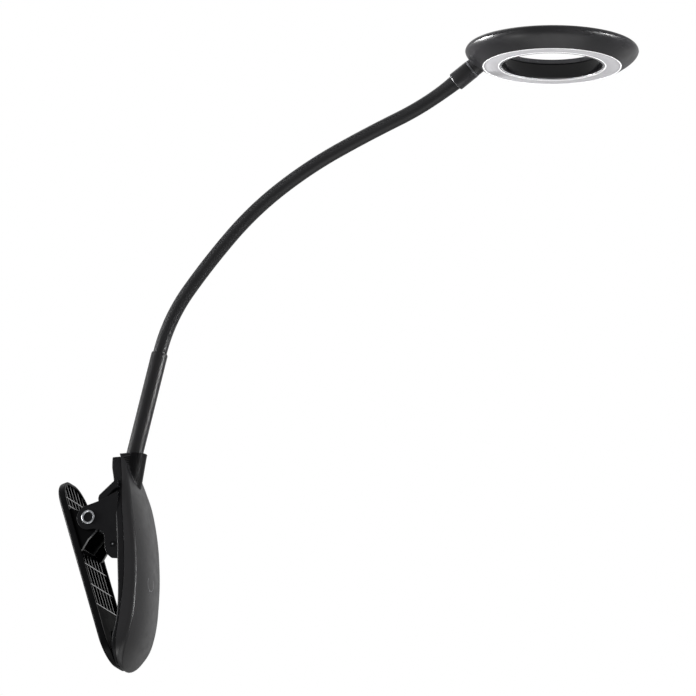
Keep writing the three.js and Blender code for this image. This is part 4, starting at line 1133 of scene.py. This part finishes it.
# %% The lining and the light ring
lining = turned("inner_lining_skin", [
    (HOLE + 0.05, 0.12), (HOLE + 0.25, -0.04), (HOLE + 0.6, -0.04), (HOLE + 0.85, 0.15),
    (HOLE + 0.9, 0.9), (HOLE + 1.3, 1.6), (HOLE_TOP + 1.7, 8.4), (HOLE_TOP + 0.7, 8.4),
    (HOLE_TOP + 0.35, 8.2), (HOLE_TOP + 0.3, 7.9), (HOLE - 0.3, 1.6), (HOLE - 0.3, 1.1),
    (HOLE, 0.8),
], ROUND_STEPS, on_head, 30)
wear(lining, gloss_abs)
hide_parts("head_inner_bezel")
opal_ring = turned("light_ring_skin", [
    (HOLE + 1.6, 0.1), (LIGHT - 0.95, 0.1), (LIGHT - 0.75, 0.2), (LIGHT - 0.75, 1.7),
    (LIGHT - 1.4, 2.4), (HOLE + 2.4, 2.4), (HOLE + 1.7, 1.2), (HOLE + 1.6, 1.0),
], ROUND_STEPS, on_head, 40)
wear(opal_ring, opal_acrylic)
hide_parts("light_diffuser")
print("light ring", 2 * HOLE, "to", 2 * LIGHT, "mm across")


# %% Thin rims, the lip and the collar
def flat_ring(name, low, high, face, place):
    """A thin flat ring between two radii, with its face at a height."""
    return turned(name, [
        (low, face + 0.1), (low + 0.08, face), (high - 0.08, face), (high, face + 0.1),
        (high, face + 0.9), (low, face + 0.9),
    ], ROUND_STEPS, place, 40)


rim = joined("light_ring_rims", flat_ring("inner", HOLE + 1.0, HOLE + 1.58, -0.03, on_head),
             flat_ring("outer", LIGHT - 0.74, LIGHT - 0.14, -0.03, on_head))
# The rims glow faintly: a painted highlight.
wear(rim, rim_glow_painted_highlight)
# The lining's lip gets a light grey: a painted highlight.
lip = wear(flat_ring("lining_lip", HOLE + 0.02, HOLE + 0.42, -0.06, on_head), lining_lip_painted_highlight)
collar_way = heading(neck_end_angle)
# The collar's mouth ring carries a light grey line, a painted highlight.
mouth_line = wear(flat_ring("mouth", 3.95, 4.75, 0.2, on_axis(neck_end, collar_way)), mouth_painted_highlight)
# The collar's seam ring carries a grey line, a painted highlight.
seam_line = wear(flat_ring("seam", 4.4, 5.12, 11.62, on_axis(neck_end, collar_way)), seam_chamfer_painted_highlight)
seam_lines = joined("collar_seam_lines", mouth_line, seam_line)
collar = turned("head_collar_skin", [
    (3.9, 1.2), (4.8, 1.2), (4.8, 0.35), (5.0, 0.4), (5.15, 0.55), (5.2, 0.8), (5.2, 11.4),
    (5.1, 11.58), (4.3, 11.6), (4.3, 12.6), (4.8, 12.6), (4.95, 12.75), (5.0, 13), (5.0, 18),
    (1.6, 18), (1.6, 8), (3.9, 8),
], 64, on_axis(neck_end, collar_way), 40)
wear(collar, satin_abs)
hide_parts("head_collar")
for piece, slot_name in ((housing, "black_plastic"), (lining, "gloss_black"),
                         (opal_ring, "frosted"), (rim, "frosted"), (lip, "gloss_black"),
                         (collar, "black_plastic"), (seam_lines, "black_plastic")):
    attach(piece, "neck_link_6")
print("collar axis points", round(neck_end_angle, 1), "degrees above level")

# %% [markdown]
# ## Floor, light and camera
# The lamp hangs by its clip, so the camera looks up at it a little and the floor is far below.
#
# A black object is lit by what it reflects, so the lights are big and soft and stand where each
# surface would mirror them into the camera. A box low on the left draws the long soft edge down
# the side of the clip, and a low one fills the head's underside. A tall one behind draws the
# edge of the face. Two narrow boxes with a honeycomb grid put a highlight on each end of the
# head without lighting the clip.
#
# The background is white for the camera but dim for everything else. With a bright white world
# the black plastic would turn grey. The camera is far away with a very long lens, so that near
# and far parts show at the same scale.

# %% Floor and background
FLOOR_LEVEL = -5.7
bpy.ops.mesh.primitive_plane_add(size=120, location=(0, 0, FLOOR_LEVEL))
floor = bpy.context.active_object
floor.name = "studio_floor"
floor_finish = moulded("pale floor", "e9e9e7", "efefed", 0.7, 4, 0.02, patch_mm=400)
wear(floor, floor_finish)

world = bpy.data.worlds.new("studio")
scene.world = world
world.use_nodes = True
sky = world.node_tree
sky.nodes.clear()
rays = node(sky, "ShaderNodeLightPath")
dim = node(sky, "ShaderNodeBackground", {"Color": linear("ffffff"), "Strength": 0.4})
white = node(sky, "ShaderNodeBackground", {"Color": linear("ffffff"), "Strength": 1.0})
mixed = node(sky, "ShaderNodeMixShader", {0: rays.outputs["Is Camera Ray"]})
sky.links.new(dim.outputs["Background"], mixed.inputs[1])
sky.links.new(white.outputs["Background"], mixed.inputs[2])
out = node(sky, "ShaderNodeOutputWorld")
sky.links.new(mixed.outputs["Shader"], out.inputs["Surface"])
print("floor", FLOOR_LEVEL, "m")

# %% Softboxes
middle = at(122, 0, 107.9)  # of the lamp


def softbox(name, direction, distance, size, power, aim=middle):
    """A soft light, size in metres and power in watts, that shines at a place from a direction."""
    light = bpy.data.lights.new(name, "AREA")
    light.shape = "RECTANGLE"
    light.size, light.size_y = size
    light.energy = power
    lamp = bpy.data.objects.new(name, light)
    scene.collection.objects.link(lamp)
    way = Vector(direction).normalized()
    lamp.location = aim + way * distance
    lamp.rotation_mode = "QUATERNION"
    lamp.rotation_quaternion = way.to_track_quat("Z", "Y")
    return lamp


head_middle = at(240, 0, 258)
clip_middle = at(0, 0, 0)
softbox("right softbox", (0.97, 0.12, 0.0), 1.2, (0.5, 0.35), 2.2, head_middle)
softbox("left softbox", (-0.96, -0.2, 0.0), 1.2, (0.5, 0.35), 4.0, head_middle)
grids = (("right grid", (0.97, 0.12, -0.06), 0.5), ("left grid", (-0.96, -0.2, -0.06), 0.8))
for name, way, power in grids:
    softbox(name, way, 1.2, (0.3, 0.3), power, head_middle).data.spread = math.radians(24)
softbox("low softbox", (0.1, -0.1, -1), 1.5, (1.2, 1.2), 4.4, head_middle)
softbox("low left softbox", (-0.34, -0.49, -0.8), 1.2, (0.35, 0.35), 1.5, clip_middle)
softbox("top softbox", (-0.45, 0.55, 1.0), 1.8, (1.0, 1.0), 3.0)
softbox("back softbox", (0.28, 0.9, 0.1), 1.6, (0.6, 1.5), 1.1, clip_middle)
print("lights", len(bpy.data.lights))

# %% Camera
camera = bpy.data.cameras.new("camera")
camera.lens = 1400
camera.sensor_width = 36
camera.clip_end = 300
eye = bpy.data.objects.new("camera", camera)
scene.collection.objects.link(eye)
turn, lift = math.radians(21), math.radians(-14.5)
back = Vector((math.sin(turn) * math.cos(lift), -math.cos(turn) * math.cos(lift), math.sin(lift)))
picture_width = 0.3758
eye.location = middle + back * (picture_width / 2 / (camera.sensor_width / 2 / camera.lens))
eye.rotation_mode = "QUATERNION"
eye.rotation_quaternion = (-back).to_track_quat("-Z", "Y")
scene.camera = eye
scene.view_settings.view_transform = "Standard"
print("camera", round((eye.location - middle).length, 2), "m away")
